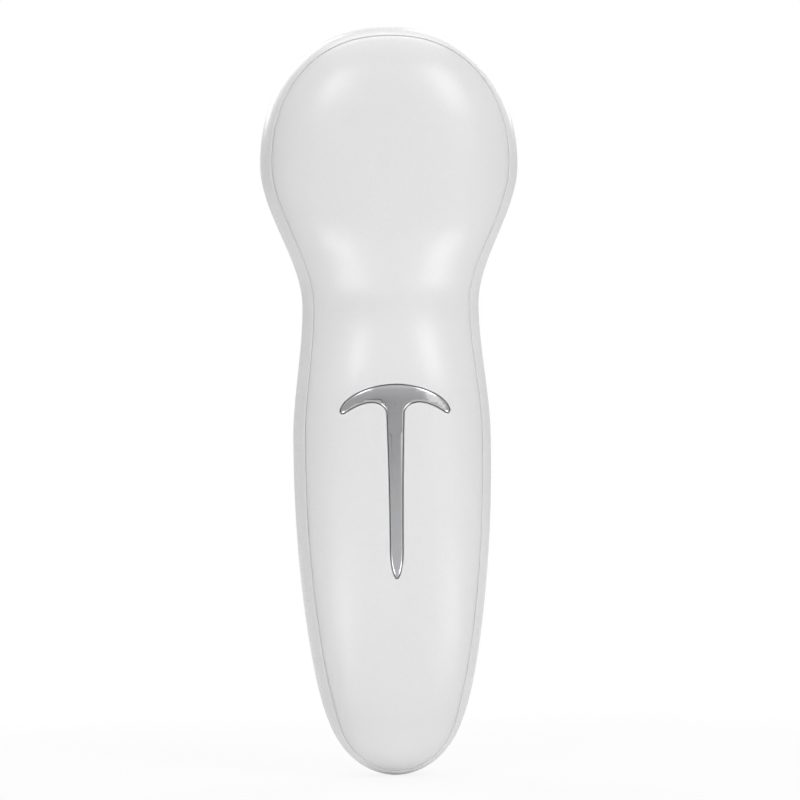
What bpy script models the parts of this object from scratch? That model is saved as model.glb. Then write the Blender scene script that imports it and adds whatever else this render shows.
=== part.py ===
"""A hand-held ultrasonic face massager, modelled as its separate pieces.

Metres, +Z up. The massager is upright, with its head at the top. Its back, which holds the hand
electrode, faces -Y. The treatment plate and the buttons face +Y. The pieces are modelled from the
plane of the body's widest outline, and an empty then centres the whole in depth.
"""

import math

import bmesh
import bpy
from mathutils import Matrix, Vector

# Fits
GAP = 0.0003
RUNNING_GAP = 0.00025
OVERRUN = 0.0030
WELD = 0.000001

# Body outline, seen from the front or the back
LENGTH = 0.1851
HEAD_WIDTH = 0.0638
HEAD_TOP_SHARE = 0.5345
NECK_WIDTH = 0.0437
NECK_DROP_SHARE = 0.5439
GRIP_WIDTH = 0.0490
GRIP_DROP = 0.0335
TIP_CENTRE = 0.0220
HEAD_HEIGHT = LENGTH - HEAD_WIDTH * HEAD_TOP_SHARE
NECK_HEIGHT = HEAD_HEIGHT - HEAD_WIDTH * NECK_DROP_SHARE
GRIP_HEIGHT = NECK_HEIGHT - GRIP_DROP
TOP_SIDE_POWER = 2.22
TOP_END_POWER = 2.12
TAPER_SHARE = 0.42
TAPER_POWER = 2.2
TIP_SIDE_POWER = 1.9
TIP_END_POWER = 13.0

# Body depth behind and in front of the widest outline
HEAD_BACK_DEPTH = 0.0150
NECK_BACK_DEPTH = 0.0106
GRIP_BACK_DEPTH = 0.0149
TIP_BACK_DEPTH = 0.0120
HEAD_FRONT_DEPTH = 0.0135
NECK_FRONT_DEPTH = 0.0118
GRIP_FRONT_DEPTH = 0.0135
TIP_FRONT_DEPTH = 0.0116

# The back keeps its full depth this far below the head's centre and above the grip's widest place
HEAD_FLAT = 0.0130
GRIP_FLAT = 0.0095

# Roundness of the section: higher is squarer across, and then squarer in depth
HEAD_CROWN_POWERS = (2.8, 2.3)
NECK_CROWN_POWERS = (1.9, 1.6)
GRIP_CROWN_POWERS = (2.8, 2.0)
TIP_CROWN_POWERS = (3.6, 2.3)
FRONT_CROWN_POWERS = (2.5, 2.1)

# Shell walls and the joint between them
WALL = 0.0022
SEAM_INSET = 0.0027
SEAM_TIP_INSET = 0.0015
LIP_HEIGHT = 0.0020
LIP_WALL = 0.0010
LIP_RAMP = 0.0012
HOOK_LENGTH = 0.0050
HOOK_ARM = 0.0010
HOOK_REACH = 0.0053
HOOK_CATCH = 0.0009
HOOK_HEAD = 0.0014
LEDGE_THICKNESS = 0.0012
RIB_WALL = 0.0010
RIB_DEPTH = 0.0012

# Inlays set flush into the shells
INLAY_THICKNESS = 0.0010
POCKET_DEPTH = INLAY_THICKNESS + GAP

# Hand electrode: a crescent bar on a long tapering stem, drops measured from its top
ELECTRODE_DROP = 0.0198
ELECTRODE_TOP = NECK_HEIGHT - ELECTRODE_DROP
ELECTRODE_LENGTH = 0.04735
BAR_WIDTH = 0.0268
BAR_ARC_DROP = 0.0067
BAR_ARC_POWER = 1.85
BAR_END_OFFSET = 0.01254
BAR_END_DROP = 0.00683
BAR_CORNER_OFFSET = 0.01312
BAR_CORNER_DROP = 0.0068
UNDER_PEAK_OFFSET = 0.00584
UNDER_PEAK_DROP = 0.00415
UNDER_POWER = 1.78
STEM_JOIN_DROP = 0.00708
STEM_TOP_WIDTH = 0.0040
STEM_LOW_WIDTH = 0.00293
POINT_LENGTH = 0.0070
POINT_POWER = 1.8
STUD_RADIUS = 0.0010
STUD_REACH = 0.0022
UPPER_STUD_DROP = 0.0074
LOWER_STUD_DROP = 0.0370
CLIP_RADIUS = 0.0026
CLIP_THICKNESS = 0.0004
CONTACT_WIDTH = 0.0030
CONTACT_THICKNESS = 0.0003
CONTACT_FOOT = 0.0045
CONTACT_TIP = 0.0022

# Treatment probe, all turned about one axis through the head
PROBE_FACE = 0.0195
HEAD_SHOULDER = 0.0063
COLLAR_RADIUS = HEAD_WIDTH / 2 - HEAD_SHOULDER
RING_WIDTH = 0.0036
RING_HEIGHT = 0.0012
RING_SET_BACK = 0.0012
PLATE_RADIUS = COLLAR_RADIUS - RING_WIDTH - RING_SET_BACK
PLATE_WALL = 0.0008
PLATE_EDGE_RADIUS = 0.0018
PLATE_HEIGHT = 0.0072
FLANGE_WIDTH = 0.0015
FLANGE_RADIUS = PLATE_RADIUS + FLANGE_WIDTH
COLLAR_FACE = 0.0160
COLLAR_FLARE_WIDTH = 0.0017
COLLAR_FOOT_RADIUS = COLLAR_RADIUS + COLLAR_FLARE_WIDTH
COLLAR_FOOT = 0.0062
COLLAR_FLARE = 0.0105
COLLAR_LIP = 0.0014
PIEZO_SHARE = 0.6
PIEZO_RADIUS = PLATE_RADIUS * PIEZO_SHARE
PIEZO_THICKNESS = 0.0020
PAD_SHARE = 0.72
PAD_RADIUS = PLATE_RADIUS * PAD_SHARE
PAD_THICKNESS = 0.0030
PAD_HOLE_RADIUS = 0.0032
HOLDER_WALL = 0.0020
HOLDER_FLOOR = 0.0015
HOLDER_BASE = 0.0
EAR_RADIUS = 0.0024
EAR_THICKNESS = 0.0018
EAR_CLEARANCE = 0.0019
EAR_OFFSET = FLANGE_RADIUS + EAR_RADIUS + EAR_CLEARANCE
EAR_COUNT = 3

# Screws
SCREW_RADIUS = 0.0009
SCREW_HEAD_RADIUS = 0.0018
SCREW_HEAD_HEIGHT = 0.0011
SCREW_LENGTH = 0.0052
BOSS_RADIUS = 0.0021

# Main board and what it carries
BOARD_WIDTH = 0.0300
BOARD_LENGTH = 0.0590
BOARD_THICKNESS = 0.0012
BOARD_CLEARANCE = 0.0012
BOARD_BOTTOM = HEAD_HEIGHT - FLANGE_RADIUS - BOARD_CLEARANCE - BOARD_LENGTH
BOARD_FRONT = 0.0030
BOARD_CORNER = 0.0015
BOARD_SCREW_INSET = 0.0030
SWITCH_WIDTH = 0.0060
SWITCH_HEIGHT = 0.0034
SWITCH_EDGE = 0.0003
PLUNGER_RADIUS = 0.0016
PLUNGER_PROUD = 0.0012
PLUNGER_BURIED = 0.0012
LED_WIDTH = 0.0020
LED_DEPTH = 0.0012
LED_HEIGHT = 0.0008
COIL_RADIUS = 0.0039
COIL_HEIGHT = 0.0048
COIL_WAIST = 0.0030
COIL_FLANGE = 0.0009
CAPACITOR_RADIUS = 0.0032
CAPACITOR_HEIGHT = 0.0054
CAPACITOR_GROOVE = 0.0003
TRANSFORMER_WIDTH = 0.0096
TRANSFORMER_LENGTH = 0.0104
TRANSFORMER_HEIGHT = 0.0052
TRANSFORMER_LEG = 0.0020
WINDING_BULGE = 0.0012
CHIP_WIDTH = 0.0070
CHIP_HEIGHT = 0.0009

# Control panel, buttons and light pipes on the front of the grip
BUTTON_RADIUS = 0.0044
BUTTON_PITCH = 0.0125
BUTTON_CENTRE = BOARD_BOTTOM + SWITCH_WIDTH / 2 + BUTTON_PITCH
BUTTON_PROUD = 0.0006
BUTTON_EDGE = 0.0007
BUTTON_DISH = 0.0003
BUTTON_FLANGE_RADIUS = 0.0056
BUTTON_FLANGE = 0.0008
FLANGE_GAP = 0.0006
BUTTON_TRAVEL = 0.0005
PUSHER_RADIUS = 0.0018
LENS_RADIUS = 0.0008
LENS_FLANGE_RADIUS = 0.0014
LENS_FLANGE = 0.0008
LENS_SPACING = 0.0040
LENS_PITCH = 0.0087
LENS_HEIGHT = BUTTON_CENTRE + BUTTON_PITCH + LENS_PITCH
PANEL_WIDTH = 0.0150
PANEL_BELOW = 0.0078
PANEL_ABOVE = 0.0055
PANEL_LENGTH = 2 * BUTTON_PITCH + LENS_PITCH + PANEL_BELOW + PANEL_ABOVE
PANEL_CENTRE = LENS_HEIGHT + PANEL_ABOVE - PANEL_LENGTH / 2

# Battery
BATTERY_RADIUS = 0.0070
BATTERY_BOTTOM = 0.0155
BATTERY_TOP_GAP = 0.0030
BATTERY_LENGTH = BOARD_BOTTOM - BATTERY_TOP_GAP - BATTERY_BOTTOM
BATTERY_AXIS = 0.0003
BATTERY_CAP_RADIUS = 0.0028
BATTERY_CAP_HEIGHT = 0.0010
BATTERY_EDGE = 0.0006
BATTERY_PAD_WIDTH = 0.0100
BATTERY_PAD_SHARE = 0.48
BATTERY_PAD_THICKNESS = 0.0020
CRADLE_WALL = 0.0016
CRADLE_BACK = -0.0010
CRADLE_INSET_SHARE = 0.22
CRADLE_INSET = BATTERY_LENGTH * CRADLE_INSET_SHARE

# Charging socket in the tip, and its small board
SOCKET_WIDTH = 0.0089
SOCKET_DEPTH = 0.0032
SOCKET_WALL = 0.0004
SOCKET_LENGTH = 0.0073
SOCKET_BOTTOM = 0.0014
SOCKET_AXIS = 0.0024
SOCKET_TONGUE_WIDTH = 0.0062
SOCKET_TONGUE = 0.0007
SOCKET_TONGUE_INSET = 0.0008
SOCKET_BACK_WALL = 0.0008
CHARGE_BOARD_WIDTH = 0.0140
CHARGE_BOARD_LENGTH = 0.0068
CHARGE_BOARD_BOTTOM = 0.0068
CHARGE_SCREW_INSET = 0.0020
CHARGE_BOSS_RADIUS = 0.0017

# Internal wires
WIRE_RADIUS = 0.0006
WIRE_SPACING = 0.0024
LEAD_SIDE_ANGLE = math.radians(41)

# Fineness of the meshes
TIP_STEPS = 6
TIP_TURN_SHARE = 0.75
TAPER_STEPS = 5
WAIST_STEPS = 4
SHOULDER_STEPS = 5
TOP_STEPS = 8
BACK_RINGS = 7
SIDE_RINGS = 3
FRONT_RINGS = 7
INNER_RINGS = 4
PROBE_STEPS = 36
BUTTON_STEPS = 16
SMALL_STEPS = 8
BOSS_STEPS = 8
WIRE_PARTS = 2
SHARP_ANGLE = math.radians(32)

BACK = -1
FRONT = 1

PLASTIC_WHITE = ("satin_white", (0.80, 0.80, 0.80), 0.32, 0.0)
PANEL_WHITE = ("panel_white", (0.74, 0.74, 0.75), 0.18, 0.0)
BUTTON_GREY = ("button_grey", (0.60, 0.61, 0.63), 0.35, 0.0)
POLISHED_STEEL = ("polished_steel", (0.62, 0.62, 0.62), 0.12, 1.0)
SATIN_STEEL = ("satin_steel", (0.58, 0.57, 0.55), 0.28, 1.0)
SCREW_STEEL = ("screw_steel", (0.35, 0.35, 0.36), 0.35, 1.0)
SPRING_BRASS = ("spring_brass", (0.70, 0.55, 0.28), 0.30, 1.0)
SEAL_GREY = ("seal_silicone", (0.45, 0.46, 0.48), 0.60, 0.0)
FOAM_BLACK = ("foam_black", (0.05, 0.05, 0.05), 0.95, 0.0)
CERAMIC = ("piezo_ceramic", (0.72, 0.66, 0.52), 0.45, 0.0)
HOLDER_GREY = ("holder_plastic", (0.55, 0.56, 0.58), 0.50, 0.0)
BOARD_GREEN = ("board_green", (0.03, 0.22, 0.10), 0.40, 0.0)
SWITCH_BLACK = ("switch_black", (0.04, 0.04, 0.04), 0.45, 0.0)
FERRITE = ("ferrite", (0.12, 0.12, 0.13), 0.60, 0.0)
SLEEVE_BLUE = ("sleeve_blue", (0.05, 0.20, 0.45), 0.30, 0.0)
LENS_CLEAR = ("lens_clear", (0.85, 0.88, 0.90), 0.15, 0.0)
WIRE_RED = ("wire_red", (0.60, 0.04, 0.03), 0.45, 0.0)
WIRE_BLACK = ("wire_black", (0.03, 0.03, 0.03), 0.45, 0.0)


def clear_scene():
    for old in list(bpy.data.objects):
        bpy.data.objects.remove(old, do_unlink=True)


def material(finish):
    """The material of a finish, made once."""
    name, colour, roughness, metallic = finish
    found = bpy.data.materials.get(name)
    if found:
        return found
    made = bpy.data.materials.new(name)
    made.use_nodes = True
    shader = made.node_tree.nodes["Principled BSDF"]
    shader.inputs["Base Color"].default_value = (*colour, 1.0)
    shader.inputs["Roughness"].default_value = roughness
    shader.inputs["Metallic"].default_value = metallic
    return made


def add_piece(name, bm, finish, location=(0, 0, 0)):
    """One named object, placed in the body's own frame under the centring empty."""
    bmesh.ops.recalc_face_normals(bm, faces=bm.faces)
    mesh = bpy.data.meshes.new(name)
    bm.to_mesh(mesh)
    bm.free()
    mesh.shade_smooth()
    mesh.set_sharp_from_angle(angle=SHARP_ANGLE)
    piece = bpy.data.objects.new(name, mesh)
    bpy.context.scene.collection.objects.link(piece)
    piece.location = location
    piece.parent = bpy.data.objects["body_centre"]
    if finish:
        mesh.materials.append(material(finish))
    return piece


def add_cutter(name, bm, location=(0, 0, 0)):
    """A hidden shape that only cuts or joins."""
    cutter = add_piece(name, bm, None, location)
    cutter.hide_render = True
    cutter.display_type = "WIRE"
    return cutter


def combine(piece, other, operation):
    """A live Boolean of the piece with another object."""
    boolean = piece.modifiers.new(other.name, "BOOLEAN")
    boolean.operation = operation
    boolean.object = other
    return boolean


def blend(share):
    """A step from 0 to 1 that starts and ends level."""
    share = min(max(share, 0), 1)
    return share * share * (3 - 2 * share)


def along(height, stations):
    """The value at a height, blended between stations of (height, value)."""
    for (low, low_value), (high, high_value) in zip(stations, stations[1:]):
        if height <= high:
            return low_value + (high_value - low_value) * blend((height - low) / (high - low))
    return stations[-1][1]


def half_width(height):
    """Half the body's width on its widest outline."""
    if height < GRIP_HEIGHT:
        share = min((GRIP_HEIGHT - height) / GRIP_HEIGHT, 1)
        taper = 1 - TAPER_SHARE * share**TAPER_POWER
        return GRIP_WIDTH / 2 * taper * (1 - share**TIP_END_POWER) ** (1 / TIP_SIDE_POWER)
    if height > HEAD_HEIGHT:
        share = min((height - HEAD_HEIGHT) / (LENGTH - HEAD_HEIGHT), 1)
        return HEAD_WIDTH / 2 * (1 - share**TOP_END_POWER) ** (1 / TOP_SIDE_POWER)
    stations = [
        (GRIP_HEIGHT, GRIP_WIDTH / 2),
        (NECK_HEIGHT, NECK_WIDTH / 2),
        (HEAD_HEIGHT, HEAD_WIDTH / 2),
    ]
    return along(height, stations)


def depth_at(height, side):
    """The body's depth on its centre line, behind or in front of the widest outline."""
    if side == BACK:
        return along(height, [
            (0, TIP_BACK_DEPTH),
            (GRIP_HEIGHT + GRIP_FLAT, GRIP_BACK_DEPTH),
            (NECK_HEIGHT, NECK_BACK_DEPTH),
            (HEAD_HEIGHT - HEAD_FLAT, HEAD_BACK_DEPTH),
        ])
    return along(height, [
        (0, TIP_FRONT_DEPTH),
        (GRIP_HEIGHT, GRIP_FRONT_DEPTH),
        (NECK_HEIGHT, NECK_FRONT_DEPTH),
        (HEAD_HEIGHT, HEAD_FRONT_DEPTH),
    ])


def crown_powers(height, side):
    """How square the section is, across and in depth."""
    if side == FRONT:
        return FRONT_CROWN_POWERS
    powers = (TIP_CROWN_POWERS, GRIP_CROWN_POWERS, NECK_CROWN_POWERS, HEAD_CROWN_POWERS)
    heights = (TIP_CENTRE, GRIP_HEIGHT + GRIP_FLAT, NECK_HEIGHT, HEAD_HEIGHT - HEAD_FLAT)
    height = max(height, TIP_CENTRE)
    return tuple(along(height, [(h, p[i]) for h, p in zip(heights, powers)]) for i in (0, 1))


def outline():
    """Points (x, z) up the right side of the widest outline, from the tip to the top."""
    quarter = math.pi / 2
    heights = []
    for step in range(TIP_STEPS):
        turn = quarter * TIP_TURN_SHARE * step / TIP_STEPS
        heights.append(GRIP_HEIGHT * (1 - math.cos(turn) ** (2 / TIP_END_POWER)))
    bend = GRIP_HEIGHT * (1 - math.cos(quarter * TIP_TURN_SHARE) ** (2 / TIP_END_POWER))
    for step in range(TAPER_STEPS):
        heights.append(bend + (GRIP_HEIGHT - bend) * step / TAPER_STEPS)
    heights.append(GRIP_HEIGHT)
    shoulder = GRIP_HEIGHT + GRIP_FLAT
    for step in range(WAIST_STEPS):
        heights.append(shoulder + (NECK_HEIGHT - shoulder) * step / WAIST_STEPS)
    for step in range(SHOULDER_STEPS):
        heights.append(NECK_HEIGHT + (HEAD_HEIGHT - NECK_HEIGHT) * step / SHOULDER_STEPS)
    for step in range(TOP_STEPS):
        rise = math.sin(quarter * step / TOP_STEPS) ** (2 / TOP_END_POWER)
        heights.append(HEAD_HEIGHT + (LENGTH - HEAD_HEIGHT) * rise)
    points = [(half_width(height), height) for height in heights]
    return points + [(0, LENGTH)]


def spine_height(height):
    """Where the section through an outline point meets the spine: the ends fan out from it."""
    return min(max(height, TIP_CENTRE), HEAD_HEIGHT)


def skin_point(rim, angle, side, inset=0):
    """A point of the skin, at an angle that runs from 0 on the crown to a right angle on the outline."""
    x, z = rim
    spine = spine_height(z)
    reach = math.hypot(x, z - spine)
    across, deep = crown_powers(spine, side)
    share = (1 - inset / reach) * max(math.sin(angle), 0) ** (2 / across)
    height = spine + (z - spine) * share
    depth = (depth_at(height, side) - inset) * max(math.cos(angle), 0) ** (2 / deep)
    return Vector((x * share, side * depth, height))


def angle_at_depth(rim, depth, side, inset):
    """The angle at which the skin, set in from the outside, has this depth."""
    low, high = 0, math.pi / 2
    for _ in range(40):
        middle = (low + high) / 2
        if abs(skin_point(rim, middle, side, inset).y) > depth:
            low = middle
        else:
            high = middle
    return low


def seam_angle(rim):
    """The angle of the parting line, which runs a set distance inside the outline."""
    x, z = rim
    spine = spine_height(z)
    reach = math.hypot(x, z - spine)
    inset = along(z, [(0, SEAM_TIP_INSET), (TIP_CENTRE, SEAM_INSET)])
    across, _ = crown_powers(spine, BACK)
    return math.asin((1 - inset / reach) ** (across / 2))


def seam_depth(rim):
    return -skin_point(rim, seam_angle(rim), BACK).y


def ring(angle_of, side, inset=0):
    """A closed ring of skin points, up the right side and down the left."""
    right = [skin_point(rim, angle_of(rim), side, inset) for rim in outline()]
    left = [Vector((-p.x, p.y, p.z)) for p in reversed(right[1:-1])]
    return right + left


def ring_at(depth_of, inset):
    """A ring on the back's skin, set in from the outside, at each outline point's own depth."""
    return ring(lambda rim: angle_at_depth(rim, depth_of(rim), BACK, inset), BACK, inset)


def skin_rings(start_of, end_of, steps, side, inset=0):
    """Rings from one angle to another, each a function of the outline point."""
    rings = []
    for step in range(steps + 1):
        share = step / steps
        rings.append(
            ring(lambda rim: start_of(rim) * (1 - share) + end_of(rim) * share, side, inset)
        )
    return rings


def crown(_rim):
    return 0


def edge(_rim):
    return math.pi / 2


def skinned(rings):
    """A closed mesh over the rings. The first and last lie on a spine, where their halves weld."""
    bm = bmesh.new()
    rows = [[bm.verts.new(point) for point in points] for points in rings]
    for row, above in zip(rows, rows[1:]):
        for i in range(len(row)):
            j = (i + 1) % len(row)
            bm.faces.new((row[i], row[j], above[j], above[i]))
    bmesh.ops.remove_doubles(bm, verts=bm.verts, dist=WELD)
    return bm


def body_solid(name, inset):
    """The whole body as one hidden solid, set in from the outside."""
    rings = skin_rings(crown, edge, BACK_RINGS, BACK, inset)
    rings += skin_rings(edge, crown, FRONT_RINGS, FRONT, inset)
    return add_cutter(name, skinned(rings))


def skin_depth(x, height, side, inset=0):
    """How deep the skin lies over a point between the tip's centre and the head's."""
    across, deep = crown_powers(height, side)
    share = abs(x) / (half_width(height) - inset)
    return (depth_at(height, side) - inset) * (1 - share**across) ** (1 / deep)


def skin_width(height, depth, inset):
    """Half the width of the back's skin at a depth."""
    across, deep = crown_powers(height, BACK)
    share = depth / (depth_at(height, BACK) - inset)
    return (half_width(height) - inset) * (1 - share**deep) ** (1 / across)


def box(bm, low, high):
    """Adds a box between two corners."""
    low, high = Vector(low), Vector(high)
    made = bmesh.ops.create_cube(bm, size=1)
    bmesh.ops.scale(bm, vec=high - low, verts=made["verts"])
    bmesh.ops.translate(bm, vec=(low + high) / 2, verts=made["verts"])
    return made["verts"]


def rod(bm, radius, start, end, steps=SMALL_STEPS):
    """Adds a cylinder between two points."""
    start, end = Vector(start), Vector(end)
    turn = Vector((0, 0, 1)).rotation_difference(end - start).to_matrix().to_4x4()
    made = bmesh.ops.create_cone(
        bm,
        cap_ends=True,
        segments=steps,
        radius1=radius,
        radius2=radius,
        depth=(end - start).length,
        matrix=Matrix.Translation((start + end) / 2) @ turn,
    )
    return made["verts"]


def turned(profile, steps=SMALL_STEPS, closed=True):
    """A solid turned about the local Y axis. A closed profile stays off the axis."""
    bm = bmesh.new()
    corners = [bm.verts.new((radius, y, 0)) for radius, y in profile]
    pairs = list(zip(corners, corners[1:]))
    if closed:
        pairs.append((corners[-1], corners[0]))
    edges = [bm.edges.new(pair) for pair in pairs]
    bmesh.ops.spin(
        bm,
        geom=corners + edges,
        axis=(0, 1, 0),
        cent=(0, 0, 0),
        steps=steps,
        angle=2 * math.pi,
        use_merge=True,
    )
    bmesh.ops.remove_doubles(bm, verts=bm.verts, dist=WELD)
    return bm


def prism(points, near, far):
    """A flat outline of (x, z) points, drawn out along Y from one place to another."""
    bm = bmesh.new()
    face = bm.faces.new([bm.verts.new((x, near, z)) for x, z in points])
    drawn = bmesh.ops.extrude_face_region(bm, geom=[face])
    moved = [item for item in drawn["geom"] if isinstance(item, bmesh.types.BMVert)]
    bmesh.ops.translate(bm, vec=(0, far - near, 0), verts=moved)
    return bm


def stadium(width, length, centre, grow=0):
    """An upright outline with round ends."""
    radius = width / 2 + grow
    straight = (length - width) / 2
    points = []
    for end, start in ((1, 0), (-1, math.pi)):
        for step in range(SMALL_STEPS + 1):
            turn = start + math.pi * step / SMALL_STEPS
            height = centre + end * straight + radius * math.sin(turn)
            points.append((radius * math.cos(turn), height))
    return points


def grown(points, distance):
    """The outline moved outwards by a distance. The points run clockwise."""
    moved = []
    for i, (x, z) in enumerate(points):
        before = points[i - 1]
        after = points[(i + 1) % len(points)]
        run = Vector((after[0] - before[0], after[1] - before[1])).normalized()
        moved.append((x - run.y * distance, z + run.x * distance))
    return moved


def electrode_outline():
    """The electrode's outline, clockwise from the middle of its top."""
    quarter = math.pi / 2
    right = []
    arc_steps = 9
    for step in range(1, arc_steps):
        turn = quarter * step / arc_steps
        drop = BAR_ARC_DROP * (1 - math.cos(turn) ** (2 / BAR_ARC_POWER))
        right.append((BAR_WIDTH / 2 * math.sin(turn) ** (2 / BAR_ARC_POWER), drop))
    right.append((BAR_CORNER_OFFSET, BAR_CORNER_DROP))
    under_steps = 6
    for step in range(under_steps):
        share = 1 - step / under_steps
        x = UNDER_PEAK_OFFSET + (BAR_END_OFFSET - UNDER_PEAK_OFFSET) * share
        drop = UNDER_PEAK_DROP + (BAR_END_DROP - UNDER_PEAK_DROP) * share**UNDER_POWER
        right.append((x, drop))
    fillet_steps = 6
    for step in range(fillet_steps):
        turn = quarter * step / fillet_steps
        x = UNDER_PEAK_OFFSET - (UNDER_PEAK_OFFSET - STEM_TOP_WIDTH / 2) * math.sin(turn)
        drop = STEM_JOIN_DROP - (STEM_JOIN_DROP - UNDER_PEAK_DROP) * math.cos(turn)
        right.append((x, drop))
    stem_steps = 6
    stem_end = ELECTRODE_LENGTH - POINT_LENGTH
    for step in range(stem_steps):
        share = step / stem_steps
        width = STEM_LOW_WIDTH + (STEM_TOP_WIDTH - STEM_LOW_WIDTH) * (1 - share) ** 2
        right.append((width / 2, STEM_JOIN_DROP + (stem_end - STEM_JOIN_DROP) * share))
    point_steps = 5
    for step in range(point_steps):
        turn = quarter * step / point_steps
        width = STEM_LOW_WIDTH * math.cos(turn) ** (2 / POINT_POWER)
        right.append((width / 2, stem_end + POINT_LENGTH * math.sin(turn) ** (2 / POINT_POWER)))
    drops = [(0, 0)] + right + [(0, ELECTRODE_LENGTH)] + [(-x, d) for x, d in reversed(right)]
    return [(x, ELECTRODE_TOP - drop) for x, drop in drops]


def stud_places():
    """Height and skin depth of the electrode's two studs."""
    places = []
    for drop in (UPPER_STUD_DROP, LOWER_STUD_DROP):
        height = ELECTRODE_TOP - drop
        places.append((height, depth_at(height, BACK)))
    return places


def button_heights():
    return {
        "power": BUTTON_CENTRE + BUTTON_PITCH,
        "mode": BUTTON_CENTRE,
        "level": BUTTON_CENTRE - BUTTON_PITCH,
    }


def lens_offsets():
    return (-LENS_SPACING, 0, LENS_SPACING)


def ear_places():
    """Where the transducer holder's screws sit, evenly round the probe from the top."""
    places = []
    for ear in range(EAR_COUNT):
        turn = math.pi / 2 + 2 * math.pi * ear / EAR_COUNT
        places.append((EAR_OFFSET * math.cos(turn), HEAD_HEIGHT + EAR_OFFSET * math.sin(turn)))
    return places


def board_screw_places():
    x = BOARD_WIDTH / 2 - BOARD_SCREW_INSET
    low = BOARD_BOTTOM + BOARD_SCREW_INSET
    high = BOARD_BOTTOM + BOARD_LENGTH - BOARD_SCREW_INSET
    return [(side * x, height) for height in (low, high) for side in (-1, 1)]


def charge_screw_places():
    x = CHARGE_BOARD_WIDTH / 2 - CHARGE_SCREW_INSET
    height = CHARGE_BOARD_BOTTOM + CHARGE_BOARD_LENGTH - CHARGE_SCREW_INSET
    return [(-x, height), (x, height)]


def charge_board_front():
    """The front face of the small board, just behind the socket."""
    return SOCKET_AXIS - SOCKET_DEPTH / 2 - GAP


def hook_heights():
    """The snap hooks sit where the outline runs nearly upright."""
    low = TIP_CENTRE + (GRIP_HEIGHT - TIP_CENTRE) / 3
    return (low, GRIP_HEIGHT, NECK_HEIGHT, HEAD_HEIGHT)


def hook_line(height):
    """The outer side of a hook's arm, and the depth of the parting line beside it."""
    rim = (half_width(height), height)
    depth = seam_depth(rim)
    return skin_width(height, depth, WALL) - GAP, depth


def make_rear_cover():
    """The back cover: a domed shell with a lip that locates it inside the front shell."""
    lip_outer = WALL + GAP
    lip_inner = lip_outer + LIP_WALL
    rings = skin_rings(crown, seam_angle, BACK_RINGS, BACK)
    rings.append(ring_at(seam_depth, lip_outer))
    rings.append(ring_at(lambda rim: seam_depth(rim) - LIP_HEIGHT, lip_outer))
    rings.append(ring_at(lambda rim: seam_depth(rim) - LIP_HEIGHT, lip_inner))
    rings.append(ring_at(seam_depth, lip_inner))

    def inner_edge(rim):
        return angle_at_depth(rim, seam_depth(rim) + LIP_RAMP, BACK, WALL)

    rings += skin_rings(inner_edge, crown, INNER_RINGS, BACK, WALL)
    cover = add_piece("rear_cover", skinned(rings), PLASTIC_WHITE)
    combine(cover, make_cover_ribs(), "UNION")
    combine(cover, make_electrode_pocket(), "DIFFERENCE")
    holes = bmesh.new()
    for height, depth in stud_places():
        rod(holes, STUD_RADIUS + RUNNING_GAP, (0, -depth, height), (0, OVERRUN - depth, height))
    combine(cover, add_cutter("stud_holes", holes), "DIFFERENCE")


def make_cover_ribs():
    """Snap hooks round the lip, and cross ribs that stiffen the cover."""
    bm = bmesh.new()
    for height in hook_heights():
        outer, depth = hook_line(height)
        root = LIP_HEIGHT / 2 - depth
        tip = HOOK_REACH - depth
        for side in (-1, 1):
            arm = [side * (outer - HOOK_ARM), side * outer]
            catch = side * (outer + HOOK_CATCH)
            profile = [
                (arm[0], root),
                (arm[1], root),
                (arm[1], tip - HOOK_HEAD),
                (catch, tip - HOOK_HEAD),
                (arm[1], tip),
                (arm[0], tip),
            ]
            section = [bm.verts.new((x, y, height - HOOK_LENGTH / 2)) for x, y in profile]
            drawn = bmesh.ops.extrude_face_region(bm, geom=[bm.faces.new(section)])
            moved = [item for item in drawn["geom"] if isinstance(item, bmesh.types.BMVert)]
            bmesh.ops.translate(bm, vec=(0, 0, HOOK_LENGTH), verts=moved)
    reach = HEAD_WIDTH / 3
    for height in (HEAD_HEIGHT - reach / 2, HEAD_HEIGHT + reach / 2):
        depth = skin_depth(reach, min(height, HEAD_HEIGHT), BACK, WALL)
        low = (-reach, -HEAD_BACK_DEPTH, height - RIB_WALL / 2)
        high = (reach, RIB_DEPTH - depth, height + RIB_WALL / 2)
        box(bm, low, high)
    ribs = add_cutter("cover_ribs", bm)
    combine(ribs, bpy.data.objects["middle_of_wall"], "INTERSECT")
    return ribs


def make_electrode_pocket():
    """The recess that the electrode lies in, cut to follow the cover's curve."""
    outer = prism(grown(electrode_outline(), RUNNING_GAP), -HEAD_BACK_DEPTH - OVERRUN, 0)
    pocket = add_cutter("electrode_pocket", outer)
    combine(pocket, bpy.data.objects["pocket_floor"], "DIFFERENCE")
    return pocket


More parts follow.
